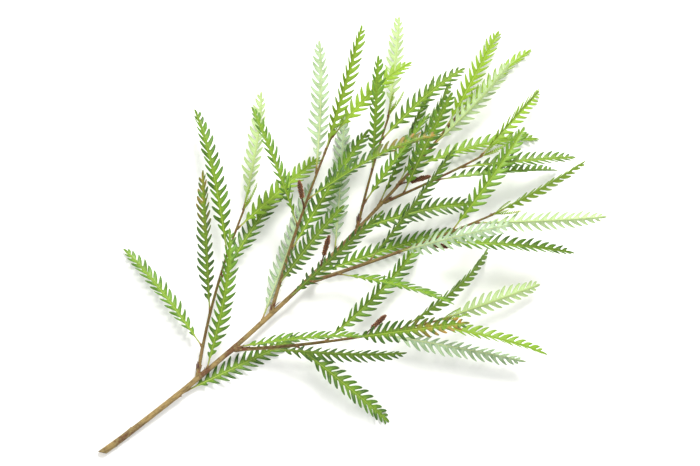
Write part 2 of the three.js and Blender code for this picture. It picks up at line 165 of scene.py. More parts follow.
# The main shoot starts flat on the table. The others leave it at a distance, each turned from its way there.
def growShoots():
    grown = []
    for row in shootRows:
        plan = dict(zip(shootColumns, row))
        heading, rise, flat = plan["turn"], plan["rise"], wood["flatRun"]
        start = np.array([0, -flat / 2, wood["buttRadius"] * math.cos(math.pi / wood["mainSides"])])
        if grown:
            share = plan["at"] / grown[0]["length"]
            heading, rise, flat = grown[0]["heading"](share) + heading, grown[0]["rise"](share) + rise, 0
            start = pathAt(grown[0], plan["at"])
        flatShare = flat / plan["length"]
        ways = steadily(heading, plan["bend"], flatShare), steadily(rise, plan["sag"], flatShare)
        walked = walk(start, plan["length"], int(plan["length"] / wood["stepLength"] + 0.5), *ways)
        grown.append({**plan, **walked, "flat": flat, "number": len(grown)})
    return grown


def lobeProfile(t):  # short lobes near the petiole, long ones in the middle, short again at the tip
    rootShare = between(leaf["shortestLobe"], 1, smooth(t / leaf["shortLobeRun"]))
    return rootShare * np.sqrt(1 - (leaf["lobedShare"] * t) ** 4)


# What is settled about a leaf before it looks for room: its place on the shoot, by the golden angle, and its
# way, size and bends, by its draws. Leaves stand closer and less spread towards the shoot's end.
def leafPlan(shoot, i, number):
    t = i / (shoot["leaves"] - 1)
    distance = between(shoot["bare"], shoot["length"] - stance["endGap"], 1 - (1 - t) ** stance["crowding"])
    share = distance / shoot["length"]
    around = math.radians(i * goldenAngle + shoot["number"] * stance["shootTurn"] + stance["firstLeaf"])
    sideways, upwards = math.sin(around), math.cos(around)
    jitter = stance["spreadJitter"] * (draw(number, 1) - 0.5)
    spread = between(*stance["spread"], t ** stance["spreadPower"]) + jitter
    swing = stance["onTopSwing"] if abs(sideways) < stance["onTop"] else 1
    young = smooth((t - stance["youngFrom"]) / stance["youngRun"])
    young *= stance["sideYouth"] if shoot["number"] else 1
    shortShoot = stance["shortShootSize"] if shoot["length"] < stance["shortShoot"] else 1
    size = between(*stance["size"], draw(number, 2)) * between(1, stance["youngSize"], young) * shortShoot
    length = max(leaf["shortest"], leaf["longest"] * size)
    flipped = draw(number, 0) > stance["flippedFrom"]
    lean = between(*stance["lean"], draw(number, 3)) * (stance["leanFlipped"] if flipped else 1)
    return {
        "number": number, "shoot": shoot["number"], "distance": distance, "young": young, "length": length,
        "root": pathAt(shoot, distance), "woodRadius": shootRadius(shoot, distance),
        "shootAlong": pathFrame(shoot, share)[0],
        "heading": shoot["heading"](share) - spread * sideways * swing,
        "rise": shoot["rise"](share) + spread * stance["raised" if upwards > 0 else "lowered"] * upwards,
        "sweep": -sideways * between(*stance["sweep"], draw(number, 4)),
        "arch": -between(*stance["arch"], draw(number, 5)) * (1 if upwards > 0 else stance["archUnder"]),
        "roll": (180 if flipped else 0) + math.copysign(1, sideways) * lean,
        "twist": stance["twist"] * (draw(number, 1) - 0.5),
        "fold": between(*stance["fold"], draw(number, 2)),
        "pairs": int((length - leaf["petiole"]) / leaf["lobePitch"] + 0.5),
    }


# A leaf's midrib from its cushion on: it sweeps sideways by t^2 and arches down by a power of t.
def leafPath(plan, lift, swing):
    heading, rise = plan["heading"] + swing, plan["rise"] + lift
    startFrame = directions(heading, rise)
    sine = math.sqrt(max(leaf["steepest"] ** 2, 1 - (startFrame[0] @ plan["shootAlong"]) ** 2))
    peg = (plan["woodRadius"] + wood["cushionRadius"]) / sine
    path = walk(
        plan["root"] + startFrame[0] * (peg + leaf["seatGap"]), plan["length"], leaf["pathSteps"],
        lambda t: heading + plan["sweep"] * t ** 2,
        lambda t: rise + plan["arch"] * np.maximum(t, 0) ** leaf["archPower"])
    return {**path, "peg": peg, "startFrame": startFrame, "plan": plan}


# The middle surface of a leaf, out from its midrib on the side given as -1 or 1: each half is folded up
# from flat, less so towards the lobes' tips, and the whole is rolled about the midrib and twisted along it.
def bladeAt(path, along, out, side):
    plan, length = path["plan"], path["length"]
    t = np.minimum(1, along / length)
    forward, right, up = pathFrame(path, t)
    roll = np.radians(plan["roll"] + plan["twist"] * t)[..., None]
    across = right * np.cos(roll) + up * np.sin(roll)
    normal = up * np.cos(roll) - right * np.sin(roll)
    fold = math.radians(plan["fold"])
    beyond = np.maximum(0, along - length) + np.minimum(0, along)
    free = pathAt(path, along) + forward * beyond[..., None]
    free = free + across * (side * out * math.cos(fold))[..., None]
    raised = out * math.sin(fold) * (1 - leaf["cupping"] * out / leaf["lobeLength"])
    return free + normal * raised[..., None], normal


# The point of a leaf at a height above that surface, with what would go through the table pressed on to it.
def leafPoint(path, along, out, side, height):
    parts = (np.asarray(part, float) for part in (along, out, side, height))
    along, out, side, height = np.broadcast_arrays(*parts)
    free, normal = bladeAt(path, along, out, side)
    lying = normal.copy()
    lying[..., :2] *= tableSlope(free[..., 2])[..., None]
    flat = free.copy()
    flat[..., 2] = pressed(free[..., 2])
    onBlade = (along - leaf["petiole"] * leaf["pressedFrom"]) / (leaf["petiole"] * leaf["pressedRun"])
    onBlade = smooth(onBlade)[..., None]
    return between(free, flat, onBlade) + between(normal, unit(lying), onBlade) * height[..., None]


def wingAt(plan, along):  # the blade's width beside the midrib, narrower at both ends of the leaf
    growing = between(leaf["wingAtFoot"], 1, smooth((along - leaf["petiole"]) / leaf["wingRun"]))
    return leaf["wing"] * growing * np.where(along > plan["length"] * leaf["endFrom"], leaf["wingAtEnd"], 1)


# Points spread over a leaf, to measure how clear it is of the others, and how far it stays off the table.
def leafSamples(path):
    plan = path["plan"]
    along = np.arange(clearance["nearest"], plan["length"] + leaf["tipLength"], clearance["spacing"])
    t = (along - leaf["petiole"]) / (plan["length"] - leaf["petiole"])
    lobe = leaf["lobeLength"] * clearance["reach"] * lobeProfile(np.minimum(1, t))
    reach = np.where(t < 0.02, 1, wingAt(plan, along) + lobe)
    side = np.array([-1, -1, 1, 1, 1])[:, None]
    share = np.array([1, 0.5, 0, 0.5, 1])[:, None]
    free, normal = bladeAt(path, along + 0 * share, share * reach, side + 0 * along)
    depth = table["shallowest"] + table["deepest"] * normal[..., 2] ** 2
    tableRoom = np.min(free[..., 2] - table["midSurface"] + depth)
    free[..., 2] = pressed(free[..., 2])
    return free.reshape(-1, 3), tableRoom


# The least distance from the samples to the points that are taken, less the gap that each needs.
def spareRoom(samples, takenPoints, takenGaps):
    margin = clearance["margin"]
    near = np.all((takenPoints > samples.min(0) - margin) & (takenPoints < samples.max(0) + margin), axis=1)
    if not near.any():
        return margin
    distances = np.linalg.norm(samples[:, None, :] - takenPoints[near][None, :, :], axis=2)
    return (distances - takenGaps[near]).min()


# A leaf's heading and rise turn in a widening spiral until it has room, and else the clearest is taken.
def clearestPath(plan, tries, spiralStep, room):
    best = (-math.inf, None)
    for k in range(tries):
        radius = spiralStep * math.sqrt(k)
        angle = math.radians(k * goldenAngle)
        path = leafPath(plan, radius * math.sin(angle), radius * math.cos(angle))
        spare = room(path)
        if spare > best[0]:
            best = (spare, path)
        if best[0] >= 0:
            break
    return best[1]


def growSpikes(grown):
    spikes = []
    for number, (shootNumber, at, turn, rise) in enumerate(budSpikes):
        shoot = grown[shootNumber]
        share = at / shoot["length"]
        spikeFrame = directions(shoot["heading"](share) + turn, shoot["rise"](share) + rise)
        root = pathAt(shoot, at)
        reach = np.arange(4, bud["stalk"] + bud["length"] + 2 + 1e-9, clearance["spacing"])
        spikes.append({
            "number": number, "frame": spikeFrame, "root": root,
            "radius": shootRadius(shoot, at),
            "start": root + spikeFrame[0] * (bud["stalk"] + leaf["seatGap"]),
            "samples": root + reach[:, None] * spikeFrame[0]})
    return spikes


# Leaf by leaf: each keeps clear of the wood, the bud spikes and the leaves before it.
def growLeaves(grown, spikes):
    points, gaps = [], []
    for shoot in grown:
        distances = np.arange(0, shoot["length"] + 1e-9, clearance["spacing"])
        points.append(pathAt(shoot, distances))
        gaps.append(shootRadius(shoot, distances) + clearance["wood"])
    for spike in spikes:
        points.append(spike["samples"])
        gaps.append(np.full(len(spike["samples"]), clearance["bud"]))
    points, gaps = np.vstack(points), np.concatenate(gaps)

    def room(path):
        samples, tableRoom = leafSamples(path)
        return tableRoom if tableRoom < 0 else min(tableRoom, spareRoom(samples, points, gaps))

    placed = []
    for shoot in grown:
        for i in range(shoot["leaves"]):
            plan = leafPlan(shoot, i, len(placed))
            placed.append(clearestPath(plan, clearance["tries"], clearance["spiralStep"], room))
            samples = leafSamples(placed[-1])[0]
            points = np.vstack([points, samples])
            gaps = np.concatenate([gaps, np.full(len(samples), clearance["blade"])])
    return placed


grownShoots = growShoots()
grownSpikes = growSpikes(grownShoots)
grownLeaves = growLeaves(grownShoots, grownSpikes)
print("grown: %d shoots, %d leaves, %d bud spikes" % (len(grownShoots), len(grownLeaves), len(grownSpikes)))


# Gathers patches and makes one mesh of them. A patch is an array of points in millimetres, sets of faces
# with their material numbers, and what the materials read at the points, each of three values or arrays: on a
# leaf, place is how far across and out on a lobe and along the leaf, and tone is youth and two chances.
class Patches:
    def __init__(self):
        self.points, self.faces, self.materials, self.place, self.tone = [], [], [], [], []
        self.count = 0
        self.shrink = None  # a centre and a scale for what is added

    def add(self, points, faceSets, place=(0, 0, 0), tone=(0, 0, 0)):
        for values, parts in ((self.place, place), (self.tone, tone)):
            parts = [np.broadcast_to(part, points.shape[:-1]) for part in parts]
            values.append(np.stack(parts, -1).reshape(-1, 3))
        points = points.reshape(-1, 3)
        if self.shrink:
            points = self.shrink[0] + (points - self.shrink[0]) * self.shrink[1]
        self.points.append(np.maximum(points, (-np.inf, -np.inf, table["lowest"])))
        for faces, material in faceSets:
            self.faces.extend((faces + self.count).tolist())
            self.materials.extend([material] * len(faces))
        self.count += len(points)

    def build(self, name, materials, node):
        mesh = bpy.data.meshes.new(name)
        mesh.from_pydata((np.vstack(self.points) * mm).tolist(), [], self.faces)
        mesh.polygons.foreach_set("material_index", self.materials)
        mesh.polygons.foreach_set("use_smooth", [True] * len(mesh.polygons))
        tone = np.pad(np.vstack(self.tone), ((0, 0), (0, 1)))
        for layer, kind, key, values in (("place", "FLOAT_VECTOR", "vector", np.vstack(self.place)),
                                         ("tone", "FLOAT_COLOR", "color", tone)):
            data = mesh.attributes.new(layer, kind, "POINT").data
            data.foreach_set(key, values.astype(np.float32).ravel())
        work = bmesh.new()
        work.from_mesh(mesh)
        bmesh.ops.remove_doubles(work, verts=work.verts, dist=0.002 * mm)
        work.to_mesh(mesh)
        work.free()
        for material in materials:
            mesh.materials.append(material)
        piece = bpy.data.objects.new(name, mesh)
        bpy.context.scene.collection.objects.link(piece)
        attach(piece, "root")
        if node:
            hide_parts(node)


def quads(index, flip=False):  # the four-sided faces of a grid of point numbers
    corners = (index[..., :-1, :-1], index[..., 1:, :-1], index[..., 1:, 1:], index[..., :-1, 1:])
    faces = np.stack(corners, -1).reshape(-1, 4)
    return faces[:, ::-1] if flip else faces


# A tube of rings of points, closed round them, with a cap on its last ring and, unless open, on its first.
def addTube(patches, rings, material, place=(0, 0, 0), tone=(0, 0, 0), isOpen=False, flip=False):
    index = np.arange(rings.size // 3).reshape(rings.shape[:2])
    faceSets = [quads(np.pad(index, ((0, 0), (0, 1)), "wrap")), index[-1:, ::-1]]
    if not isOpen:
        faceSets.append(index[:1])
    patches.add(rings, [(faces[:, ::-1] if flip else faces, material) for faces in faceSets], place, tone)


# A thin sheet of an upper and a lower grid, with faces between them along the open edges of the upper one.
def addSheet(patches, upper, lower, openEdges, materials, flip, place, tone):
    index = np.arange(upper.size // 3).reshape(upper.shape[:-1])
    faceSets = [(quads(index, flip), materials[0]), (quads(index, not flip) + index.size, materials[1])]
    for edge in openEdges(index):
        faceSets.append((quads(np.stack([edge, edge + index.size], -2), flip), materials[0]))
    patches.add(np.stack([upper, lower]), faceSets, place, tone)


def scatter(*numbers):  # an evenly scattered number from 0 to 1 for each set of whole numbers
    steps = (0.7548776662, 0.6180339887, 0.3819660113)
    return (0.317 + sum(np.asarray(n) * step for n, step in zip(numbers, steps))) % 1


def hump(x, width):  # a smooth hump of height 1 round nought
    return np.exp(-(x / width) ** 2)


def ringAngles(sides, start=0):
    return (np.arange(sides) + start)[None, :] / sides * 2 * np.pi


def turned(right, up, angle):  # the direction at an angle round a path, from its right towards its up
    angle = np.asarray(angle)[..., None]
    return right * np.cos(angle) + up * np.sin(angle)


blade = {
    "across": [-1, -0.7, -0.24, 0, 0.24, 0.7, 1],  # columns over the width of a lobe
    "wing": [0, 0.5, 1],  # rows from the midrib to the notches, with the heights of both surfaces there
    "wingTop": [0, 0.2, 0.14], "wingLow": [0, -0.24, -0.26],
    "out": [0.05, 0.13, 0.24, 0.4, 0.58, 0.75, 0.89, 0.97, 1],  # rows on to the tip
    "width": (0.7, 0.85), "taper": (0.5, 0.76), "swell": 1.2,  # lobes slimmer and sharper in some leaves
    "lastPitch": 0.62, "lastSize": 0.8,  # one short pair of lobes more, before the leaf's end
    "wingGain": 1.25,  # a little wider than in the plan
    "forward": 0.6,  # where a lobe stands between its two notches
    "lowFlare": 2.3, "highFlare": 0.6,  # a lobe runs down the midrib below and meets it sharply above
    "bow": 1.1,  # how far a lobe curves towards the leaf's tip
    "smallLeaf": 0.86, "shortLobe": 0.55, "fullLobe": 26,  # short lobes in small leaves, slimmer too
    "crown": 0.6, "crownPower": 2.4, "thickness": 0.4, "groove": 0.14, "ridgeBelow": 0.12, "veinWidth": 0.13,
    "turnRun": 3, "bodyRun": 3.5,  # over how many millimetres a lobe turns out of the wing and fills
    "droop": (0.7, 1.9), "sizeJitter": 0.15, "angleJitter": 11, "tilt": 18,
    "tipRows": [0, 0.15, 0.3, 0.45, 0.6, 0.74, 0.86, 0.95, 1], "tipWidth": 1.9, "tipRoundness": 2.6,
    "rootRows": [0, 0.25, 0.5, 0.75, 1], "rootRun": 7,  # where the wings begin on the petiole
}
midrib = {
    "sides": 12, "stations": 66, "petioleStations": 12, "sunk": 0.7, "halfWidth": (0.62, 0.2),
    "crest": (0.34, 0.17), "depth": (0.8, 0.35),  # at the foot of the blade and at its tip
    "petioleHalfWidth": 0.98, "petioleCrest": 0.6, "petioleDepth": 0.78,
    "foot": 0.25, "footRun": 1.6, "channel": 0.28, "channelWidth": 0.45, "endGap": 0.6,
}


def bladeWing(plan, along):
    return wingAt(plan, along) * blade["wingGain"]


# Where the notches are along the midrib on one side: equal steps, and a shorter one for the last lobe.
def notches(plan, side):
    pitch = (plan["length"] - leaf["petiole"]) * leaf["lobedShare"] / plan["pairs"]
    steps = np.full(plan["pairs"] + 1, pitch)
    steps[-1] = pitch * blade["lastPitch"]
    return leaf["petiole"] + leaf["stagger"] * pitch * side + np.concatenate([[0], np.cumsum(steps)])


# All the lobes on one side of a leaf, as grids in lobe, row and column. Row by row a lobe goes from the
# midrib to the notches and then out along a bowed centre line. Its half width is (1 + swell * out) times
# (1 - out)^taper, plus a flare e^(-reach / size) on each side to the notch there.
def addLobes(patches, path, side):
    plan = path["plan"]
    number, length = plan["number"], plan["length"]
    edges = notches(plan, side)[:, None, None]
    pitch = np.diff(edges, axis=0)
    i = np.arange(len(pitch))[:, None, None]
    t = np.minimum(1, (i + 0.5) / plan["pairs"])
    v = np.array(blade["across"])
    w = np.array(blade["wing"])[:, None]
    u = np.array(blade["out"])[:, None]
    chance = scatter(i, number, side)
    otherChance = scatter(i * 3 + 1, number + 7, side)
    angle = between(leaf["baseAngle"], leaf["tipAngle"], t)
    angle = np.radians(angle + blade["angleJitter"] * (chance - 0.5))
    size = leaf["lobeLength"] * lobeProfile(t) * between(blade["smallLeaf"], 1, length / leaf["longest"])
    size = size * (1 - blade["sizeJitter"] * otherChance) * np.where(i == plan["pairs"], blade["lastSize"], 1)
    longShare = size / leaf["lobeLength"]
    middle = edges[:-1] + pitch * blade["forward"]
    room = pitch * np.where(v < 0, blade["forward"], 1 - blade["forward"])
    alongWing = middle + room * v + 0 * w
    outWing = bladeWing(plan, alongWing) * w
    reach = u * size
    slim = leaf["lobeHalfWidth"] * between(*blade["width"], scatter(number + 5))
    taper = between(*blade["taper"], scatter(number * 2 + 8))
    lobeWidth = slim * (1 + blade["swell"] * u) * (1 - u) ** taper
    lobeWidth = lobeWidth * np.minimum(1, blade["shortLobe"] + size / blade["fullLobe"])
    flare = np.where(v < 0, blade["lowFlare"], blade["highFlare"])
    width = lobeWidth + (room - slim) * np.exp(-reach / flare) * (1 - u)
    turn = smooth(reach / blade["turnRun"])
    stepAlong = (1 - turn) + turn * np.sin(angle)
    stepOut = -turn * np.cos(angle)
    step = v * width / np.hypot(stepAlong, stepOut)
    bow = blade["bow"] * np.sin(np.pi * u) * longShare
    alongLobe = middle + reach * np.cos(angle) - bow * np.sin(angle) + step * stepAlong
    outLobe = bladeWing(plan, middle) + reach * np.sin(angle) + bow * np.cos(angle) + step * stepOut
    body = smooth(reach / blade["bodyRun"])
    thin = np.sqrt(1 - u ** 6)
    crowned = blade["crown"] * (1 - np.abs(v) ** blade["crownPower"]) * thin
    vein = hump(v, blade["veinWidth"]) * body * (1 - u)
    tilt = np.tan(np.radians(blade["tilt"] * (2 * chance - 1))) * v * width * body
    droop = between(*blade["droop"], scatter(number * 3 + 2)) * (0.3 + otherChance) * u ** 2 * longShare
    top = between(blade["wingTop"][-1], crowned, body) - blade["groove"] * vein + tilt - droop
    low = between(blade["wingLow"][-1], crowned - blade["thickness"] * thin, body)
    low = low - blade["ridgeBelow"] * vein + tilt - droop
    along = np.concatenate([alongWing, alongLobe], 1)
    out = np.concatenate([outWing, outLobe], 1)
    surfaces = []
    for wingHeights, lobeHeights in ((blade["wingTop"], top), (blade["wingLow"], low)):
        wingHeights = np.array(wingHeights)[:, None] + 0 * outWing
        surfaces.append(leafPoint(path, along, out, side, np.concatenate([wingHeights, lobeHeights], 1)))
    outShare = np.concatenate([0 * w, u])

    def openEdges(index):
        lobeRows = index[:, len(w) - 1:]
        return [lobeRows[..., 0], lobeRows[:, ::-1, -1]]

    addSheet(patches, *surfaces, openEdges, (0, 1), side < 0, (np.abs(v), outShare, along / length),
             (plan["young"], chance, scatter(number + 3)))


# One side of the leaf's blunt end and of the wings' beginning on the petiole. Each goes on from the notch of
# the last or the first lobe: rows along the midrib, columns out from it, and a half width and thickness that
# come to nothing at the other end.
def addEnds(patches, path, side):
    plan = path["plan"]
    end = plan["length"] + leaf["tipLength"]
    firstNotch, lastNotch = notches(plan, side)[[0, -1]]
    w = np.array(blade["wing"])
    tip = np.array(blade["tipRows"])[:, None]
    root = np.array(blade["rootRows"])[:, None]
    tipHalf = blade["tipWidth"] * np.sqrt(1 - tip ** blade["tipRoundness"])
    tipHalf = between(tipHalf, bladeWing(plan, lastNotch), 1 - smooth(tip / 0.3))
    rootHalf = bladeWing(plan, firstNotch) * smooth(root)
    for along, half, thin, out in (
            (lastNotch + tip * (end - lastNotch), tipHalf, np.sqrt(1 - tip), tip),
            (firstNotch - blade["rootRun"] * (1 - root), rootHalf, np.sqrt(root), 0)):
        upper, lower = (leafPoint(path, along, half * w, side, np.array(heights) * thin)
                        for heights in (blade["wingTop"], blade["wingLow"]))
        addSheet(patches, upper, lower, lambda index: [index[::-1, -1]], (0, 1), side > 0,
                 (1 - (1 - w) * (1 - thin), out, along / plan["length"]),
                 (plan["young"], 0.5, scatter(plan["number"] + 3)))


# The petiole and midrib: a tube whose section is a half ellipse above, with a channel on the petiole,
# and a deeper half ellipse below, both growing slimmer towards the tip.
def addMidrib(patches, path):
    plan, petiole = path["plan"], leaf["petiole"]
    length = plan["length"]
    s = np.concatenate([
        np.linspace(-midrib["sunk"], petiole, midrib["petioleStations"], endpoint=False),
        np.linspace(petiole, length + leaf["tipLength"] - midrib["endGap"], midrib["stations"])])[:, None]
    angle = ringAngles(midrib["sides"], 0.5)
    x, z = np.cos(angle), np.sin(angle)
    onBlade = smooth((s - petiole * 0.5) / (petiole * 0.9))
    slim = np.clip((s - petiole) / (length - petiole), 0, 1)
    foot = 1 + midrib["foot"] * np.exp(-np.maximum(0, s + midrib["sunk"]) / midrib["footRun"])
    halfWidth = between(midrib["petioleHalfWidth"] * foot, between(*midrib["halfWidth"], slim), onBlade)
    crest = between(midrib["petioleCrest"], between(*midrib["crest"], slim), onBlade)
    depth = between(midrib["petioleDepth"] * foot, between(*midrib["depth"], slim), onBlade)
    channel = midrib["channel"] * hump(x, midrib["channelWidth"]) * (1 - 0.75 * onBlade)
    height = np.where(z > 0, crest * z - channel, depth * z)
    points = leafPoint(path, s, np.abs(halfWidth * x), np.where(x < 0, -1, 1), height)
    addTube(patches, points, 2, (z < 0, onBlade, s / length), (plan["young"], 0, 0))


def addBlade(patches, path):
    for side in (-1, 1):
        addLobes(patches, path, side)
        addEnds(patches, path, side)
    addMidrib(patches, path)


bark = {
    "step": 1.4,  # spacing of the rings
    "mainSides": 40, "sideSides": 22,
    "collar": 0.62, "collarLength": 6,  # how far a side shoot widens where it leaves the main one
    "collarLimit": 0.78, "limitGrowth": 0.8,  # its girth there, as shares of the main one's
    "forkSwell": 0.2, "forkLength": 7, "scars": 0.045, "scarPitch": 1.5, "scarRun": 3.6, "scarsPastFork": 8,
    "firstScars": 7, "ridges": 0.03, "ridgePitches": (37, 23, 11), "knots": 0.15, "knotLength": 3,
    "seam": 0.13, "seamLength": 38, "seamWidth": 0.42, "sideSeam": 0.35, "sideSeamAt": 1.1,
    "sideSeamWidth": 0.25,
    "leafScar": 0.2, "scarSpacing": 21, "firstScar": 17, "lastScar": 13,  # where leaves have dropped
    "scarSize": (1.7, 0.55), "hollow": 0.45, "hollowSize": (0.75, 0.3), "cutRun": 7, "tipRun": 2.5,
}
cushion = {"sides": 14, "rings": 12, "neck": 1.12, "lip": 1.24, "root": 0.55, "flare": 0.7, "rounding": 0.75}
sideBud = {"length": 2.6, "radius": 0.95, "rings": 7, "sides": 9, "size": (0.75, 1.1), "oldSize": 0.62}
spikeStalk = {"rings": 9, "sides": 14, "neck": 0.86, "foot": 0.9, "footRun": 1.5, "tone": (0.4, 0, 0.6)}
cutFace = {"rings": 14, "grain": 0.05, "grainPitch": 19, "dish": 0.25, "tone": (0, 0, 0.5)}  # darkens its rim


def facing(apart):  # strongest on the side that faces
    return 0.55 + 0.45 * np.cos(apart)


def wrapped(angle):  # from -pi to pi
    return (angle + np.pi) % (2 * np.pi) - np.pi


# How far each angle round a shoot is from the side that faces a direction.
def angleFrom(shoot, distance, direction, angle):
    right, up = pathFrame(shoot, distance / shoot["length"])[1:]
    return wrapped(angle - math.atan2(direction @ up, direction @ right))


# Where leaves once stood on the bare run of a shoot: distances, and angles by the golden angle.
def oldLeafPlaces(shoot):
    distances = np.arange(bark["firstScar"], shoot["bare"] - bark["lastScar"], bark["scarSpacing"])
    angles = np.radians((np.arange(len(distances)) * goldenAngle + 71 * shoot["number"] + 40) % 360)
    return list(zip(distances, angles))


# A shoot's surface: its radius is the plan's, times shallow ridges that wind slowly, a swelling at each leaf
# and fork, rings of old scars past each fork, and a seam down the wood below each leaf that fades out.
def addShoot(patches, shoot):
    number, main = shoot["number"], grownShoots[0]
    d = np.linspace(0, shoot["length"], int(shoot["length"] / bark["step"]))[:, None]
    angle = ringAngles(bark["sideSides"] if number else bark["mainSides"])
    forward, right, up = pathFrame(shoot, d / shoot["length"])
    radius = shootRadius(shoot, d)
    turns = [d / pitch for pitch in bark["ridgePitches"]]
    relief = np.cos(3 * angle + turns[0] + number) + 0.6 * np.cos(7 * angle - turns[1])
    relief = bark["ridges"] * (relief + 0.5 * np.sin(turns[2] + 2 * angle))
    parentRadius = shootRadius(main, shoot["at"])
    scarPlaces = [parentRadius + bark["firstScars"]]
    if number:
        collar = bark["collar"] * np.exp(-np.maximum(0, d - parentRadius) / bark["collarLength"])
    else:
        collar = 0
        scarPlaces = [other["at"] + bark["scarsPastFork"] for other in grownShoots[1:]]
        for other in grownShoots[1:]:
            apart = angleFrom(shoot, other["at"], pathFrame(other, 0)[0], angle)
            swell = hump(d - other["at"] - 1, bark["forkLength"]) * facing(apart)
            relief = relief + bark["forkSwell"] * swell
    for place in scarPlaces:
        rings = np.cos(2 * np.pi * d / bark["scarPitch"] + 0.8 * np.sin(2 * angle + place))
        relief = relief + bark["scars"] * hump(d - place, bark["scarRun"]) * rings
    for path in grownLeaves:
        plan = path["plan"]
        if plan["shoot"] != number:
            continue
        apart = angleFrom(shoot, plan["distance"], path["startFrame"][0], angle)
        below = plan["distance"] - d
        knot = hump(below, bark["knotLength"]) * facing(apart)
        seam = hump(apart, bark["seamWidth"]) * smooth(1 - below / bark["seamLength"]) * (below > 0)
        sideSeams = bark["sideSeam"] * hump(np.abs(apart) - bark["sideSeamAt"], bark["sideSeamWidth"])
        seam = seam * smooth(below / 3) + sideSeams * seam.max(1, keepdims=True)
        relief = relief + bark["knots"] * knot + bark["seam"] * seam
    scarred = 0 * d * angle
    for distance, place in oldLeafPlaces(shoot):
        apart = wrapped(angle - place)
        swelling = hump(d - distance, bark["scarSize"][0]) * hump(apart, bark["scarSize"][1])
        hollow = hump(d - distance - 0.5, bark["hollowSize"][0]) * hump(apart, bark["hollowSize"][1])
        relief = relief + bark["leafScar"] * (swelling - bark["hollow"] * hollow)
        scarred = np.maximum(scarred, hollow)
    full = radius * (1 + relief + collar)
    if number:
        limit = bark["collarLimit"] + bark["limitGrowth"] * smooth(d / (3 * parentRadius))
        full = np.minimum(full, parentRadius * limit)
    full = full * np.sqrt(np.clip((shoot["length"] + 0.2 - d) / bark["tipRun"], 0.02, 1))
    points = pathAt(shoot, d) + full[..., None] * turned(right, up, angle)
    if not number:
        slant = wood["cutSlant"] * full * np.cos(angle) * np.clip(1 - d / bark["cutRun"], 0, 1)
        points = points + slant[..., None] * forward
    addTube(patches, points, 0, tone=(radius / wood["buttRadius"], 0, scarred), isOpen=not number)
    if not number:
        addCut(patches, points[0])


# The slanting cut: rings from the bark to the pith, dished a little, with a fine grain of year rings.
def addCut(patches, rim):
    r = np.linspace(1, 0.03, cutFace["rings"])[:, None]
    centre = rim.mean(0)
    normal = np.array([wood["cutSlant"], -1, 0]) / math.hypot(wood["cutSlant"], 1)
    relief = cutFace["grain"] * np.cos(r * cutFace["grainPitch"]) * (r < 0.99)
    relief = relief - cutFace["dish"] * (1 - r ** 2)
    points = centre + (rim - centre) * r[..., None] + relief[..., None] * normal
    points[0] = rim
    turn = ringAngles(len(rim))
    place = (r * np.cos(turn), 1 - r, r * np.sin(turn))
    addTube(patches, points, 1, place, cutFace["tone"], isOpen=True, flip=True)


# A round tapering tube along one direction: rings of the given radii at the given distances.
def addPeg(patches, root, pegFrame, distances, radii, sides, material, place=(0, 0, 0), tone=(0, 0, 0)):
    forward, right, up = pegFrame
    ring = turned(right, up, ringAngles(sides))
    points = root + distances[:, None, None] * forward + radii[:, None, None] * ring
    addTube(patches, points, material, place, tone)


# A small egg, such as a bud: radius is the sine of the share along it, squeezed towards the tip.
def eggRings(length, radius, rings, point=0.75):
    s = np.linspace(0.02, 0.985, rings)
    return s * length, radius * np.sin(np.pi * s ** point) ** 0.8


def addSideBud(patches, seat, along, outward, size):  # a small bud that leans out from the wood
    tilted = along * 0.8 + outward * 0.6
    side = unit(np.cross(tilted, outward))
    distances, radii = eggRings(sideBud["length"] * size, sideBud["radius"] * size, sideBud["rings"])
    addPeg(patches, seat, (tilted, side, np.cross(side, tilted)), distances, radii, sideBud["sides"], 2)


def outwardOf(path):  # the side of its shoot that a leaf stands on
    along = path["plan"]["shootAlong"]
    return unit(path["startFrame"][0] - (path["startFrame"][0] @ along) * along)


# The shoots, the cushion and the bud at each leaf, the buds over old scars, and the stalks of the spikes.
def addWood(patches):
    for shoot in grownShoots:
        addShoot(patches, shoot)
    for path in grownLeaves:
        plan = path["plan"]
        along, outward = plan["shootAlong"], outwardOf(path)
        x = np.linspace(0, 1, cushion["rings"])
        first = cushion["root"] * plan["woodRadius"]
        distances = first + x * (path["peg"] + 0.15 - first)
        neck = cushion["neck"] + cushion["flare"] * (1 - x) ** 2
        radii = between(neck, cushion["lip"], smooth((x - 0.5) / 0.3))
        radii = radii * np.sqrt(np.clip(1 - cushion["rounding"] * smooth((x - 0.8) / 0.2) ** 2, 0, 1))
        radii = np.minimum(radii, plan["woodRadius"] * 0.95 + x)
        addPeg(patches, plan["root"], path["startFrame"], distances, radii, cushion["sides"], 0,
               tone=(plan["woodRadius"] / wood["buttRadius"], 0, 0.2))
        seat = plan["root"] + along * 2.2 + outward * (plan["woodRadius"] * 0.95)
        addSideBud(patches, seat, along, outward, between(*sideBud["size"], scatter(plan["number"] + 1)))
    for shoot in grownShoots:
        for distance, place in oldLeafPlaces(shoot):
            forward, right, up = pathFrame(shoot, distance / shoot["length"])
            outward = turned(right, up, place)
            seat = pathAt(shoot, distance + 1.9) + outward * shootRadius(shoot, distance) * 0.97
            addSideBud(patches, seat, forward, outward, sideBud["oldSize"])
    for spike in grownSpikes:
        radius = spike["radius"]
        distances = np.linspace(radius * 0.5, bud["stalk"] + 0.4, spikeStalk["rings"])
        foot = spikeStalk["foot"] * np.exp(-(distances - radius) / spikeStalk["footRun"])
        radii = np.minimum(bud["stalkRadius"] * (spikeStalk["neck"] + foot), radius * 1.1)
        addPeg(patches, spike["root"], spike["frame"], distances, radii, spikeStalk["sides"], 0,
               tone=spikeStalk["tone"])


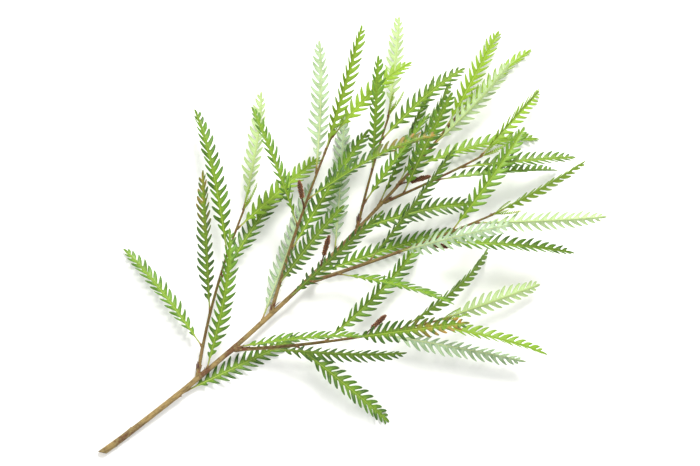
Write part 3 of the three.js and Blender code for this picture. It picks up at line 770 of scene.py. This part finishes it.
bract = {
    "rows": 9, "across": 7, "length": 7.5, "halfWidth": 1.5, "lift": 0.34, "cup": 0.5, "thickness": 0.14,
    "sunk": 0.5, "twist": 1.4, "atLeaves": 0.42, "atForks": 4, "atSpikes": 2,
    "forkSize": (0.75, 1.4), "leafSize": (0.4, 0.8), "spikeSize": (0.45, 0.75),
}


# A dry bract: a thin pointed scale, rows along it and columns across, that lifts off the wood towards its
# tip by lift * share^1.7 and has its edges cupped back by cup * across^2.
def addBract(patches, seat, along, outward, sizes, sizeShare, chance):
    size = between(*bract[sizes], sizeShare)
    s = np.linspace(0, 1, bract["rows"])[:, None]
    v = np.linspace(-1, 1, bract["across"])
    length, half = bract["length"] * size, bract["halfWidth"] * size
    width = half * np.sin(np.pi * (0.16 + 0.84 * s) ** 0.85) ** 0.8
    thin = np.sqrt(1 - s ** 6)
    lift = bract["lift"] * length * s ** 1.7 * (0.6 + chance)
    lift = lift - bract["cup"] * half * v ** 2 * (1 - 0.4 * s) * thin
    lift = lift - bract["sunk"] * (1 - smooth(s / 0.25))
    lift = lift + (chance - 0.5) * bract["twist"] * s * v * half * thin
    upper = seat + (length * s)[..., None] * along + (v * width)[..., None] * np.cross(along, outward)
    upper = upper + lift[..., None] * outward
    lower = upper - (bract["thickness"] * thin)[..., None] * outward

    def border(index):
        return [np.concatenate([index[:-1, 0], index[-1, :-1], index[:0:-1, -1], index[0, ::-1]])]

    addSheet(patches, upper, lower, border, (3, 3), True, (np.abs(v), s, 0), (0, chance, 0))


# Bracts round each fork and spike stalk, and a pair at some of the leaves.
def addBracts(patches):
    for number, shoot in enumerate(grownShoots[1:], 1):
        forward, right, up = pathFrame(shoot, 0)
        for k in range(bract["atForks"]):
            chance = scatter(number, k)
            outward = turned(right, up, 1.2 + 1.9 * k + 1.5 * chance)
            reach = shootRadius(grownShoots[0], shoot["at"]) + 2.5 + 1.5 * k
            wide = shootRadius(shoot, reach) * (1.3 - 0.07 * k)
            seat = shoot["points"][0] + forward * reach + outward * wide * 1.04
            addBract(patches, seat, forward, outward, "forkSize", chance, chance)
    for path in grownLeaves:
        plan = path["plan"]
        chance = scatter(plan["number"], 5)
        if chance > bract["atLeaves"]:
            continue
        along, right = plan["shootAlong"], outwardOf(path)
        for turn in (-0.9, 0.8):
            outward = turned(right, np.cross(along, right), turn)
            seat = plan["root"] - along * 1.2 + outward * plan["woodRadius"] * 1.14
            addBract(patches, seat, along, outward, "leafSize", (chance * 7) % 1, (chance * 5) % 1)
    for spike in grownSpikes:
        forward, right, up = spike["frame"]
        for k in range(bract["atSpikes"]):
            chance = scatter(spike["number"] + 11, k)
            outward = turned(right, up, 2.6 * k + 6 * chance)
            seat = spike["root"] + forward * (spike["radius"] + 1.6 + 1.5 * k)
            seat = seat + outward * bud["stalkRadius"] * 0.9
            addBract(patches, seat, forward, outward, "spikeSize", chance, chance)


sprout = {
    "count": 3, "length": 15, "radius": 0.8, "flatness": 0.75, "rings": 34, "sides": 12, "teeth": 8,
    "toothHeight": 0.4, "spread": 12, "fan": 72, "curve": 0.008, "sunk": 1.2,
}
hair = {
    "radius": 0.045, "length": 1.3, "budLength": 1.0, "onTwig": 110, "twigRun": 75, "onSprout": 46,
    "sideways": np.array([0.31, 0.52, 0.8]),  # any direction that no hair runs in
}
tinyLeaf = {
    "count": 3, "firstNumber": 60, "scale": 0.28, "scaleStep": 0.055, "length": 104, "pairs": 10,
    "spread": 24, "rise": 16, "riseStep": 9, "sweep": 22, "arch": 34, "roll": 38, "twist": 10, "fold": 52,
    "gap": 2.8, "above": 1.2, "tries": 70, "spiralStep": 5,  # how it looks for room among the large leaves
}


# Short silky hairs: each is three faces from a tiny triangle at its root to its tip.
def addHairs(patches, roots, ways, length, material):
    ways = unit(np.asarray(ways))
    side = unit(np.cross(ways, hair["sideways"]))
    other = np.cross(ways, side)
    corners = [roots + hair["radius"] * turned(side, other, angle) for angle in (0, 2.0944, 4.1888)]
    lengths = length * between(0.6, 1.1, scatter(np.arange(len(roots)) + 5))[:, None]
    points = np.stack(corners + [roots + ways * lengths], 1)
    first = np.arange(len(roots))[:, None, None] * 4
    faces = (first + np.array([(0, 1, 3), (1, 2, 3), (2, 0, 3), (2, 1, 0)])).reshape(-1, 3)
    patches.add(points, [(faces, material)])


# The youngest leaves at a shoot's end, still folded: slim spindles on a curved path whose girth steps up and
# falls back like the teeth of a comb, round the shoot's own tip and leaning away from its last leaf.
def addSprouts(patches, shoot):
    number = shoot["number"]
    forward, right, up = pathFrame(shoot, 1)
    lastLeaf = [path["startFrame"][0] for path in grownLeaves if path["plan"]["shoot"] == number][-1]
    opposite = math.atan2(-(lastLeaf @ up), -(lastLeaf @ right))
    s = np.linspace(0, 1, sprout["rings"])[:, None]
    angle = ringAngles(sprout["sides"])
    comb = 1 - (s * sprout["teeth"] + 0.12 * np.cos(2 * angle)) % 1
    girth = sprout["radius"] * np.sin(np.pi * (0.06 + 0.93 * s) ** 0.7) ** 0.8
    girth = girth * (1 + sprout["toothHeight"] * (comb - 0.5) * np.abs(np.cos(angle)))
    rows, columns = girth.shape
    for k in range(sprout["count"]):
        chance = scatter(number, k + 2)
        turn = opposite + math.radians(sprout["fan"] * (k - 1))
        outward = right * math.cos(turn) + up * max(-0.15, math.sin(turn))
        tilt = math.radians(sprout["spread"] * (0.35 + 0.65 * k / sprout["count"]) + 5 * chance)
        axis = forward * math.cos(tilt) + outward * math.sin(tilt)
        side = unit(np.cross(axis, outward))
        lift = np.cross(side, axis)
        reach = s[..., None] * sprout["length"] * between(0.55, 1, (k + chance) / sprout["count"])
        points = shoot["points"][-1] - forward * sprout["sunk"] + reach * axis
        points = points + sprout["curve"] * reach ** 2 * lift
        points = points + girth[..., None] * turned(side, sprout["flatness"] * lift, angle)
        j = np.arange(hair["onSprout"])
        row = (scatter(j, k, number) * (rows - 3)).astype(int) + 1
        column = (scatter(j * 5 + 2, k + 3) * columns).astype(int)
        ways = axis + 0.4 * turned(side, lift, angle[0, column])
        addHairs(patches, points[row, column], ways, hair["length"], 4)
        addTube(patches, points, 3, (0, s, 0))


# Hairs pressed forward along the last run of a shoot, thicker towards its end.
def addTwigHairs(patches, shoot):
    k = np.arange(hair["onTwig"])
    distance = shoot["length"] - hair["twigRun"] * scatter(k, shoot["number"]) ** 1.6
    forward, right, up = pathFrame(shoot, distance / shoot["length"])
    outward = turned(right, up, 2 * np.pi * scatter(k * 3 + 1, shoot["number"] + 4))
    roots = pathAt(shoot, distance) + outward * (shootRadius(shoot, distance) * 0.97)[:, None]
    addHairs(patches, roots, forward + 0.45 * outward, hair["length"], 4)


# Small new leaves round a shoot's end: full leaves of the same plan, folded more tightly, grown from the end
# of the shoot and drawn in towards it by their scale. Each looks for room among the large leaves near it.
def addTinyLeaves(patches, shoot):
    number, end = shoot["number"], shoot["points"][-1]
    largeLeaves = np.vstack([leafSamples(path)[0] for path in grownLeaves])
    largeLeaves = largeLeaves[np.linalg.norm(largeLeaves - end, axis=1) < leaf["longest"] / 2]
    for k in range(tinyLeaf["count"]):
        chance = scatter(number + 2, k)
        side = 1 if k % 2 else -1
        scale = tinyLeaf["scale"] - tinyLeaf["scaleStep"] * k
        plan = {
            "number": tinyLeaf["firstNumber"] + number * tinyLeaf["count"] + k, "young": 1, "root": end,
            "length": tinyLeaf["length"], "woodRadius": 0.2, "shootAlong": pathFrame(shoot, 1)[0],
            "heading": shoot["heading"](1) + side * tinyLeaf["spread"] * (0.6 + 0.5 * chance),
            "rise": shoot["rise"](1) + tinyLeaf["rise"] + tinyLeaf["riseStep"] * (k + chance),
            "sweep": -side * tinyLeaf["sweep"], "arch": -tinyLeaf["arch"], "roll": -side * tinyLeaf["roll"],
            "twist": tinyLeaf["twist"], "fold": tinyLeaf["fold"], "pairs": tinyLeaf["pairs"],
        }

        def room(path):
            samples = end + (leafSamples(path)[0] - end) * scale
            nearest = np.linalg.norm(samples[:, None, :] - largeLeaves, axis=2).min()
            return min(nearest - tinyLeaf["gap"], samples[:, 2].min() - tinyLeaf["above"])

        patches.shrink = (end, scale)
        addBlade(patches, clearestPath(plan, tinyLeaf["tries"], tinyLeaf["spiralStep"], room))
    patches.shrink = None


spikeLook = {
    "buds": 96, "budLength": 3.8, "budRadius": 0.95, "budPoint": 0.62, "rings": 6, "sides": 7, "lean": 46,
    "core": 0.6, "coreRings": 26, "coreSides": 16, "coreShortBy": 1.5, "roundness": 0.6,
    "slim": 0.88, "lumps": 0.09, "lumpPitch": 19,  # a little slimmer than the plan, and uneven
}


# A spike of buds: eggs on a golden-angle spiral over a slim spindle, each leaning out from it and forward.
# The spindle's girth is a power of a sine, with a slow wave that makes it uneven.
def addSpike(patches, spike):
    forward, right, up = spike["frame"]
    number, length = spike["number"], bud["length"]

    def girth(share):
        uneven = spikeLook["slim"] + spikeLook["lumps"] * np.cos(spikeLook["lumpPitch"] * share + 2 * number)
        return bud["radius"] * uneven * np.sin(np.pi * between(0.1, 0.94, share)) ** spikeLook["roundness"]

    shares = np.linspace(0, 1, spikeLook["coreRings"])
    addPeg(patches, spike["start"], spike["frame"], shares * (length - spikeLook["coreShortBy"]),
           girth(shares) * spikeLook["core"], spikeLook["coreSides"], 0)
    hairRoots, hairWays = [], []
    for k in range(spikeLook["buds"]):
        share = (k + 0.5) / spikeLook["buds"]
        chance = scatter(k, number)
        outward = turned(right, up, math.radians(k * goldenAngle))
        side = np.cross(forward, outward)
        lean = math.radians(spikeLook["lean"] * (1.15 - 0.75 * share))
        budUp = forward * math.cos(lean) + outward * math.sin(lean)
        size = between(0.88, 1.06, chance) * between(1, 0.7, share ** 2)
        reach = spikeLook["budLength"] * size
        outer = max(0.3, girth(share) - reach * math.sin(lean) * 0.9)
        seat = spike["start"] + forward * (share * (length - reach * math.cos(lean))) + outward * outer
        for lift in (0.15, 0.7):
            hairRoots.append(seat + budUp * reach * (0.93 - 0.3 * lift) + outward * 0.3 * lift)
            hairWays.append(budUp + outward * lift + side * (chance - 0.5))
        radius, rings = spikeLook["budRadius"] * size, spikeLook["rings"]
        distances, radii = eggRings(reach, radius, rings, spikeLook["budPoint"])
        addPeg(patches, seat, (budUp, side, np.cross(side, budUp)), distances, radii, spikeLook["sides"], 1,
               (0, distances[:, None] / reach, 0), (0, chance, 0))
    addHairs(patches, np.array(hairRoots), hairWays, hair["budLength"], 2)


def colour(red, green, blue):  # sRGB numbers from 0 to 255 to the linear colour that shaders use
    c = np.array([red, green, blue]) / 255
    linear = np.where(c <= 0.04045, c / 12.92, ((c + 0.055) / 1.055) ** 2.4)
    return (*[float(x) for x in linear], 1.0)


grains = {  # noises: cells per metre, detail and roughness
    "leafPatches": (120, 4, 0.5), "leafGrain": (1400, 3, 0.5), "gallPatches": (26, 3, 0.5),
    "underPatches": (150, 3, 0.5), "felt": (2600, 4, 0.65), "ribStreaks": (500, 3, 0.5),
    "ribGrain": (2200, 3, 0.5), "silkySkin": (2400, 4, 0.65), "silk": (900, 2, 0.5),
    "barkFibres": (900, 5, 0.62), "barkPatches": (38, 4, 0.6), "barkGrain": (330, 4, 0.6),
    "speckBends": (700, 2, 0.5), "cutGrain": (1700, 4, 0.6), "cutBends": (420, 3, 0.5),
    "sideBudGrain": (1500, 4, 0.6), "bractStreaks": (1300, 4, 0.6), "budGrain": (1900, 4, 0.65),
    "coreGrain": (1200, 4, 0.6), "floorPatches": (3, 2, 0.5),
}


# One finish: a Principled shader whose base colour is painted coat by coat, each over the last by a share.
# Colours are given by their names in a table, values as numbers or as sockets of other nodes.
class Finish:
    def __init__(self, name, colours, base, sockets):
        self.material = bpy.data.materials.new(name)
        self.material.use_nodes = True
        self.tree = self.material.node_tree
        self.tree.nodes.clear()
        self.shader = self.node("BsdfPrincipled", sockets)
        self.node("OutputMaterial", {"Surface": self.shader.outputs[0]})
        self.where = self.node("TexCoord", {}).outputs["Object"]
        self.colours, self.base = colours, base

    def node(self, kind, inputs, **settings):
        made = self.tree.nodes.new("ShaderNode" + kind)
        for key, value in settings.items():
            setattr(made, key, value)
        for key, value in inputs.items():
            if isinstance(value, bpy.types.NodeSocket):
                self.tree.links.new(value, made.inputs[key])
            else:
                made.inputs[key].default_value = value
        return made

    def math(self, operation, *values):
        return self.node("Math", dict(enumerate(values)), operation=operation).outputs[0]

    def plus(self, first, second):
        return self.math("ADD", first, second)

    def times(self, first, second):
        return self.math("MULTIPLY", first, second)

    def ramp(self, value, low, high, toLow=0, toHigh=1):  # a value's range on to another, smoothly
        inputs = {"Value": value, "From Min": low, "From Max": high, "To Min": toLow, "To Max": toHigh}
        return self.node("MapRange", inputs, interpolation_type="SMOOTHSTEP").outputs[0]

    def noise(self, grain, where=None, output=0):
        scale, detail, roughness = grains[grain]
        inputs = {"Vector": where or self.where, "Scale": scale, "Detail": detail, "Roughness": roughness}
        return self.node("TexNoise", inputs).outputs[output]

    def stretched(self, *scale):  # the place of each point, scaled
        return self.node("Mapping", {0: self.where, "Scale": scale}).outputs[0]

    def cells(self, scale, where=None):  # how far each point is from the middle of its cell
        return self.node("TexVoronoi", {"Vector": where or self.where, "Scale": scale}).outputs["Distance"]

    def parts(self, name):  # the three numbers of an attribute
        values = self.node("Attribute", {}, attribute_name=name).outputs["Vector"]
        return self.node("SeparateXYZ", {0: values}).outputs

    def mix(self, share, *pair):
        first, second = (colour(*self.colours[one]) if isinstance(one, str) else one for one in pair)
        return self.node("Mix", {0: share, 6: first, 7: second}, data_type="RGBA").outputs[2]

    def coat(self, over, share, *limits):  # a share, or a value and the limits of its ramp
        self.base = self.mix(self.ramp(share, *limits) if limits else share, self.base, over)

    def done(self, roughness, height, depth):  # roughness as a ramp, and bumps of a height and depth
        bump = self.node("Bump", {"Height": height, "Distance": depth, "Strength": 1})
        for value, socket in ((self.base, "Base Color"), (self.ramp(*roughness), "Roughness"),
                              (bump.outputs[0], "Normal")):
            self.tree.links.new(value, self.shader.inputs[socket])
        return self.material


leafColours = {
    "upper": (90, 134, 24), "upperDeep": (36, 74, 14), "upperYoung": (142, 176, 32),
    "upperWingPaintedLight": (124, 156, 34), "lobeVein": (138, 168, 56), "edge": (130, 162, 56),
    "bronze": (162, 118, 44),
    "under": (162, 184, 148), "underDeep": (120, 147, 106), "underYoung": (166, 190, 110),
    "felt": (204, 214, 200), "rib": (142, 170, 58), "ribUnder": (188, 200, 144),
    "petiole": (146, 160, 76), "petioleBlush": (144, 108, 62), "point": (142, 108, 56), "spot": (96, 64, 28),
    "sprout": (150, 144, 76), "sproutTip": (142, 92, 56), "silk": (200, 182, 144), "silkDark": (160, 126, 86),
}
woodColours = {
    "tan": (152, 127, 78), "grey": (116, 106, 68), "redBrown": (100, 54, 30), "youngGreen": (106, 104, 42),
    "youngRed": (104, 60, 30), "speck": (176, 160, 116), "dark": (60, 44, 28), "bract": (130, 80, 44),
    "bractDark": (76, 40, 24), "cutFace": (200, 176, 128), "cutRing": (166, 134, 88), "pith": (128, 94, 58),
    "cutBark": (86, 58, 40), "budBrown": (104, 54, 34),
}
budColours = {
    "deep": (52, 23, 12), "brown": (102, 48, 25), "tip": (212, 142, 78), "hair": (198, 168, 126),
    "core": (60, 28, 16),
}


# The vein along each lobe, and side veins: |sin|^9 of a slant that runs out along a lobe and back towards its
# edges, bent by the patches.
def lobeVeins(skin, across, out, patches, veinEdge, veinMiddle):
    vein = skin.times(skin.ramp(across, veinEdge, veinMiddle), skin.ramp(out, 1, 0.1))
    slant = skin.math("SUBTRACT", skin.times(out, 30), skin.times(across, 6.5))
    slant = skin.plus(slant, skin.times(patches, 5))
    lines = skin.math("POWER", skin.math("ABSOLUTE", skin.math("SINE", slant)), 9)
    return vein, skin.times(lines, skin.ramp(across, 1, 0.55))


# Upper side: green that varies from lobe to lobe and patch to patch, yellower in young leaves, with paler
# veins and edges, and bronze and spots in a few leaves; painted light makes it lighter next to the midrib and
# painted shade darker towards the lobes' tips; the bump follows the veins.
def makeLeafUpper():
    skin = Finish("leafUpper", leafColours, "upper", {
        "Specular IOR Level": 0.38, "Subsurface Weight": 0.2, "Subsurface Scale": 0.0007,
        "Subsurface Radius": (0.7, 1, 0.15)})
    across, out, along = skin.parts("place")
    youth, lobeChance, leafChance = skin.parts("tone")
    patches, grain = skin.noise("leafPatches"), skin.noise("leafGrain")
    vein, sideVeins = lobeVeins(skin, across, out, patches, 0.16, 0.02)
    deep = skin.plus(skin.times(lobeChance, 0.35), skin.plus(skin.times(leafChance, 0.55), patches))
    bronzed = skin.times(skin.ramp(leafChance, 0.86, 0.94), skin.ramp(patches, 0.42, 0.62, 0, 0.8))
    spotted = skin.ramp(skin.noise("gallPatches"), 0.56, 0.66)
    spots = skin.times(skin.ramp(skin.cells(300), 0.13, 0.07), spotted)
    skin.coat("upperDeep", deep, 0.5, 1.3)
    skin.coat("upperYoung", skin.times(youth, 0.85))
    # painted light: a lighter, yellower green next to the midrib; painted shade: a darker green towards the
    # lobes' tips
    skin.coat("upperWingPaintedLight", out, 0.34, 0, 0, 0.5)
    skin.coat("upperDeep", out, 0.35, 0.95, 0, 0.3)
    skin.coat("lobeVein", skin.times(vein, 0.6))
    skin.coat("edge", skin.times(skin.ramp(across, 0.86, 1), 0.45))
    skin.coat("lobeVein", skin.times(sideVeins, 0.13))
    skin.coat("upperDeep", skin.times(grain, 0.12))
    skin.coat("bronze", skin.times(bronzed, skin.ramp(along, 0.45, 0.9)))
    skin.coat("spot", skin.times(spots, 0.6))
    skin.coat("point", out, 0.93, 1, 0, 0.75)
    height = skin.math("SUBTRACT", skin.times(grain, 0.9), skin.plus(vein, skin.times(sideVeins, 0.45)))
    return skin.done((patches, 0.3, 0.7, 0.36, 0.5), height, 0.00007)


# Under side: pale silvery green under a felt of tiny hairs, with raised veins.
def makeLeafUnder():
    skin = Finish("leafUnder", leafColours, "under", {
        "Specular IOR Level": 0.35, "Sheen Weight": 0.25, "Sheen Roughness": 0.4, "Subsurface Weight": 0.08,
        "Subsurface Scale": 0.0006, "Subsurface Radius": (0.6, 1, 0.3)})
    across, out = skin.parts("place")[:2]
    felt, patches = skin.noise("felt"), skin.noise("underPatches")
    vein, sideVeins = lobeVeins(skin, across, out, patches, 0.2, 0.03)
    skin.coat("underDeep", patches, 0.3, 0.75)
    skin.coat("underYoung", skin.times(skin.parts("tone")[0], 0.7))
    skin.coat("ribUnder", skin.times(vein, 0.6))
    skin.coat("underDeep", skin.times(sideVeins, 0.16))
    skin.coat("felt", felt, 0.45, 0.8, 0, 0.35)
    height = skin.plus(felt, skin.plus(vein, skin.times(sideVeins, 0.4)))
    return skin.done((felt, 0.2, 0.8, 0.62, 0.8), height, 0.00007)


# Midrib and petiole: pale yellow-green above, creamier below, with a faint red blush at the petiole's foot.
def makeLeafRib():
    skin = Finish("leafRib", leafColours, "rib", {"Specular IOR Level": 0.45})
    below, onBlade, along = skin.parts("place")
    streaks = skin.noise("ribStreaks", skin.stretched(3, 0.5, 3))
    grain = skin.noise("ribGrain")
    skin.coat("ribUnder", below)
    skin.coat("upperYoung", skin.times(skin.parts("tone")[0], 0.5))
    stalk = skin.mix(skin.ramp(along, 0.03, -0.005), "petiole", "petioleBlush")
    skin.base = skin.mix(onBlade, stalk, skin.base)
    skin.coat("petioleBlush", streaks, 0.4, 0.7, 0, 0.3)
    return skin.done((grain, 0.3, 0.7, 0.45, 0.6), grain, 0.00006)


# The folded youngest leaves: yellow-green under silky hairs, rusty towards their tips.
def makeSprout():
    skin = Finish("sproutSkin", leafColours, "upperYoung", {
        "Specular IOR Level": 0.4, "Sheen Weight": 0.4, "Sheen Roughness": 0.35})
    silk = skin.noise("silkySkin")
    skin.coat("sprout", silk, 0.35, 0.7)
    skin.coat("sproutTip", skin.parts("place")[1], 0.45, 1, 0, 0.7)
    return skin.done((silk, 0.3, 0.7, 0.5, 0.7), silk, 0.00015)


def makeSilk():  # pale silky hairs
    skin = Finish("silk", leafColours, "silk", {"Specular IOR Level": 0.5, "Sheen Weight": 0.3})
    grain = skin.noise("silk")
    skin.coat("silkDark", grain)
    return skin.done((grain, 0.3, 0.7, 0.35, 0.5), grain, 0.00002)


# Bark: tan to grey on old wood and red-brown to greenish on young twigs, in fibres along the stem, with dark
# patches, fine cracks and pale specks. It reads how thick the wood is and where leaves have left scars.
def makeBark():
    skin = Finish("bark", woodColours, "tan", {"Specular IOR Level": 0.35})
    thickness, _, scarred = skin.parts("tone")
    fibres = skin.noise("barkFibres", skin.stretched(1, 0.16, 1))
    patches, grain = skin.noise("barkPatches"), skin.noise("barkGrain")
    bends = {0: skin.noise("speckBends", output=1), "Scale": 0.0012}
    bends = skin.node("VectorMath", bends, operation="SCALE").outputs[0]
    bent = skin.node("VectorMath", {0: skin.where, 1: bends}, operation="ADD").outputs[0]
    specks = skin.times(skin.ramp(skin.cells(560, bent), 0.22, 0.1), skin.ramp(patches, 0.42, 0.6))
    skin.coat("grey", patches, 0.35, 0.65)
    skin.coat("redBrown", skin.plus(patches, skin.times(grain, 0.5)), 0.72, 0.9, 0, 0.75)
    twig = skin.mix(skin.ramp(grain, 0.35, 0.65), "youngRed", "youngGreen")
    skin.coat(twig, thickness, 0.62, 0.32)
    skin.coat("dark", fibres, 0.42, 0.68, 0, 0.55)
    skin.coat("bractDark", scarred, 0.1, 0.7, 0, 0.75)
    skin.coat("speck", skin.times(specks, 0.36))
    height = skin.plus(skin.plus(fibres, skin.times(grain, 0.6)), skin.times(specks, 0.5))
    return skin.done((grain, 0.3, 0.7, 0.6, 0.85), height, 0.00035)


# The cut: pale wood with year rings and fine rays, a brown pith and a dark edge of bark. The share inwards
# from the rim is in place y, and the rays turn with the other two numbers.
def makeCutWood():
    skin = Finish("cutWood", woodColours, "cutFace", {"Specular IOR Level": 0.3})
    sideways, inward, upwards = skin.parts("place")
    grain, bends = skin.noise("cutGrain"), skin.noise("cutBends")
    rings = skin.math("SINE", skin.plus(skin.times(inward, 30), skin.times(bends, 5)))
    turn = skin.math("ARCTAN2", upwards, sideways)
    rays = skin.math("SINE", skin.plus(skin.times(turn, 46), skin.times(bends, 9)))
    skin.coat("cutRing", skin.times(skin.ramp(rings, -0.2, 1), 0.42))
    skin.coat("cutRing", rays, 0.3, 1, 0, 0.28)
    skin.coat("cutRing", grain, 0.5, 0.75, 0, 0.4)
    skin.coat("pith", inward, 0.84, 0.9)
    skin.coat("budBrown", inward, 0.16, 0.1, 0, 0.6)
    skin.coat("cutBark", inward, 0.1, 0.06)
    return skin.done((grain, 0.3, 0.7, 0.6, 0.8), skin.plus(grain, skin.times(rays, 0.25)), 0.0002)


def makeSideBud():  # brown with paler scales
    skin = Finish("sideBud", woodColours, "budBrown", {"Specular IOR Level": 0.4, "Sheen Weight": 0.2})
    grain = skin.noise("sideBudGrain")
    skin.coat("tan", grain, 0.35, 0.7)
    return skin.done((grain, 0.3, 0.7, 0.5, 0.7), grain, 0.0002)


def makeBract():  # thin brown scales with darker streaks and feet, and pale worn edges
    skin = Finish("dryBract", woodColours, "bract", {"Specular IOR Level": 0.4, "Sheen Weight": 0.15})
    across, share = skin.parts("place")[:2]
    streaks = skin.noise("bractStreaks")
    darker = skin.plus(streaks, skin.times(skin.parts("tone")[1], 0.4))
    skin.coat("bractDark", darker, 0.5, 0.95)
    skin.coat("bractDark", share, 0.25, 0, 0, 0.8)
    skin.coat("speck", across, 0.7, 1, 0, 0.45)
    return skin.done((streaks, 0.3, 0.7, 0.5, 0.7), streaks, 0.0002)


# Buds: dark red-brown, paler at their tips, with pale specks for tiny silky hairs that are partly painted
# glints.
def makeBudSkin():
    skin = Finish("budSkin", budColours, "deep", {
        "Specular IOR Level": 0.5, "Sheen Weight": 0.3, "Sheen Roughness": 0.35})
    grain = skin.noise("budGrain")
    skin.coat("brown", skin.parts("tone")[1])
    skin.coat("brown", grain, 0.45, 0.7, 0, 0.5)
    skin.coat("tip", skin.times(skin.ramp(skin.parts("place")[1], 0.66, 0.98), 0.85))
    # pale specks: the colour of silky hairs, and partly painted glints on them
    skin.coat("hair", grain, 0.6, 0.78, 0, 0.45)
    return skin.done((grain, 0.3, 0.7, 0.4, 0.6), grain, 0.0002)


def makeBudCore():  # the dark spindle between the buds
    skin = Finish("budCore", budColours, "core", {"Specular IOR Level": 0.35})
    grain = skin.noise("coreGrain")
    skin.coat("deep", grain, 0.35, 0.7)
    return skin.done((grain, 0.3, 0.7, 0.55, 0.75), grain, 0.0003)


leafMaterials = [makeLeafUpper(), makeLeafUnder(), makeLeafRib()]
woodMaterials = [makeBark(), makeCutWood(), makeSideBud(), makeBract()]
budMaterials = [makeBudCore(), makeBudSkin(), makeSilk()]
tipMaterials = leafMaterials + [makeSprout(), makeSilk()]
print("materials: %d" % len(bpy.data.materials))

for path in grownLeaves:
    patches = Patches()
    addBlade(patches, path)
    number = path["plan"]["number"] + 1
    patches.build("leafBlade_%02d" % number, leafMaterials, "leaf_%02d" % number)
print("leaves: %d" % len(grownLeaves))

for shoot in grownShoots:
    patches = Patches()
    addTinyLeaves(patches, shoot)
    addSprouts(patches, shoot)
    addTwigHairs(patches, shoot)
    patches.build("shootTip_%d" % (shoot["number"] + 1), tipMaterials, None)
print("shoot tips: %d" % len(grownShoots))

patches = Patches()
addWood(patches)
addBracts(patches)
patches.build("barkedWood", woodMaterials, "woody_stem")
print("wood: %d points" % patches.count)

for spike in grownSpikes:
    patches = Patches()
    addSpike(patches, spike)
    number = spike["number"] + 1
    patches.build("budCluster_%d" % number, budMaterials, "bud_spike_%d" % number)
print("bud spikes: %d" % len(grownSpikes))

# The set: a wide pale floor just under the stem, soft lamps and the camera that looks down on it.
studio = {
    "floorHalf": 9, "floorPaint": {"pale": (246, 246, 244), "shade": (226, 226, 222)}, "floorRoughness": 0.8,
    "world": (255, 255, 255), "worldStrength": 0.9, "clip": (0.01, 60),
    "aim": (-0.04, 0.343, 0.02), "elevation": 84, "azimuth": -90, "roll": -55, "distance": 2.3, "lens": 110,
}
lamps = [
    {"name": "keyLamp", "place": (-1.5, 1.7, 2.1), "size": 1.0, "power": 108, "colour": (1, 0.985, 0.95)},
    {"name": "fillLamp", "place": (1.6, -0.3, 1.9), "size": 2.2, "power": 8, "colour": (0.96, 0.98, 1)},
]


def addObject(name, data):
    made = bpy.data.objects.new(name, data)
    bpy.context.scene.collection.objects.link(made)
    return made


def addFloor():
    half = studio["floorHalf"]
    corners = [(-half, -half, 0), (half, -half, 0), (half, half, 0), (-half, half, 0)]
    mesh = bpy.data.meshes.new("floor")
    mesh.from_pydata(corners, [], [(0, 1, 2, 3)])
    paint = Finish("floorPaint", studio["floorPaint"], "pale", {
        "Specular IOR Level": 0.15, "Roughness": studio["floorRoughness"]})
    paint.coat("shade", paint.times(paint.noise("floorPatches"), 0.04))
    paint.tree.links.new(paint.base, paint.shader.inputs["Base Color"])
    mesh.materials.append(paint.material)
    addObject("floor", mesh)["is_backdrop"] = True


def addLights():
    for plan in lamps:
        light = bpy.data.lights.new(plan["name"], "AREA")
        light.size, light.energy, light.color = plan["size"], plan["power"], plan["colour"]
        lamp = addObject(plan["name"], light)
        lamp.location = plan["place"]
        lamp.rotation_euler = (Vector(studio["aim"]) - lamp.location).to_track_quat("-Z", "Y").to_euler()
    world = bpy.data.worlds.new("softSky")
    world.use_nodes = True
    background = world.node_tree.nodes["Background"]
    background.inputs["Color"].default_value = colour(*studio["world"])
    background.inputs["Strength"].default_value = studio["worldStrength"]
    bpy.context.scene.world = world
    bpy.context.scene.view_settings.view_transform = "Standard"


def addCamera():  # from the aim out by azimuth and elevation, then turned about its own view by roll
    azimuth, elevation = math.radians(studio["azimuth"]), math.radians(studio["elevation"])
    level = math.cos(elevation)
    away = Vector((math.cos(azimuth) * level, math.sin(azimuth) * level, math.sin(elevation)))
    view = bpy.data.cameras.new("photoCamera")
    view.lens = studio["lens"]
    view.clip_start, view.clip_end = studio["clip"]
    camera = addObject("photoCamera", view)
    turn = (-away).to_track_quat("-Z", "Y").to_matrix().to_4x4()
    turn = turn @ Matrix.Rotation(-math.radians(studio["roll"]), 4, "Z")
    camera.matrix_world = Matrix.Translation(Vector(studio["aim"]) + away * studio["distance"]) @ turn
    bpy.context.scene.camera = camera


addFloor()
addLights()
addCamera()

triangles = [sum(len(face.vertices) - 2 for face in piece.data.polygons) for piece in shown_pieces()
             if piece.type == "MESH"]
print("triangles: %d, most in one piece %d" % (sum(triangles), max(triangles)))
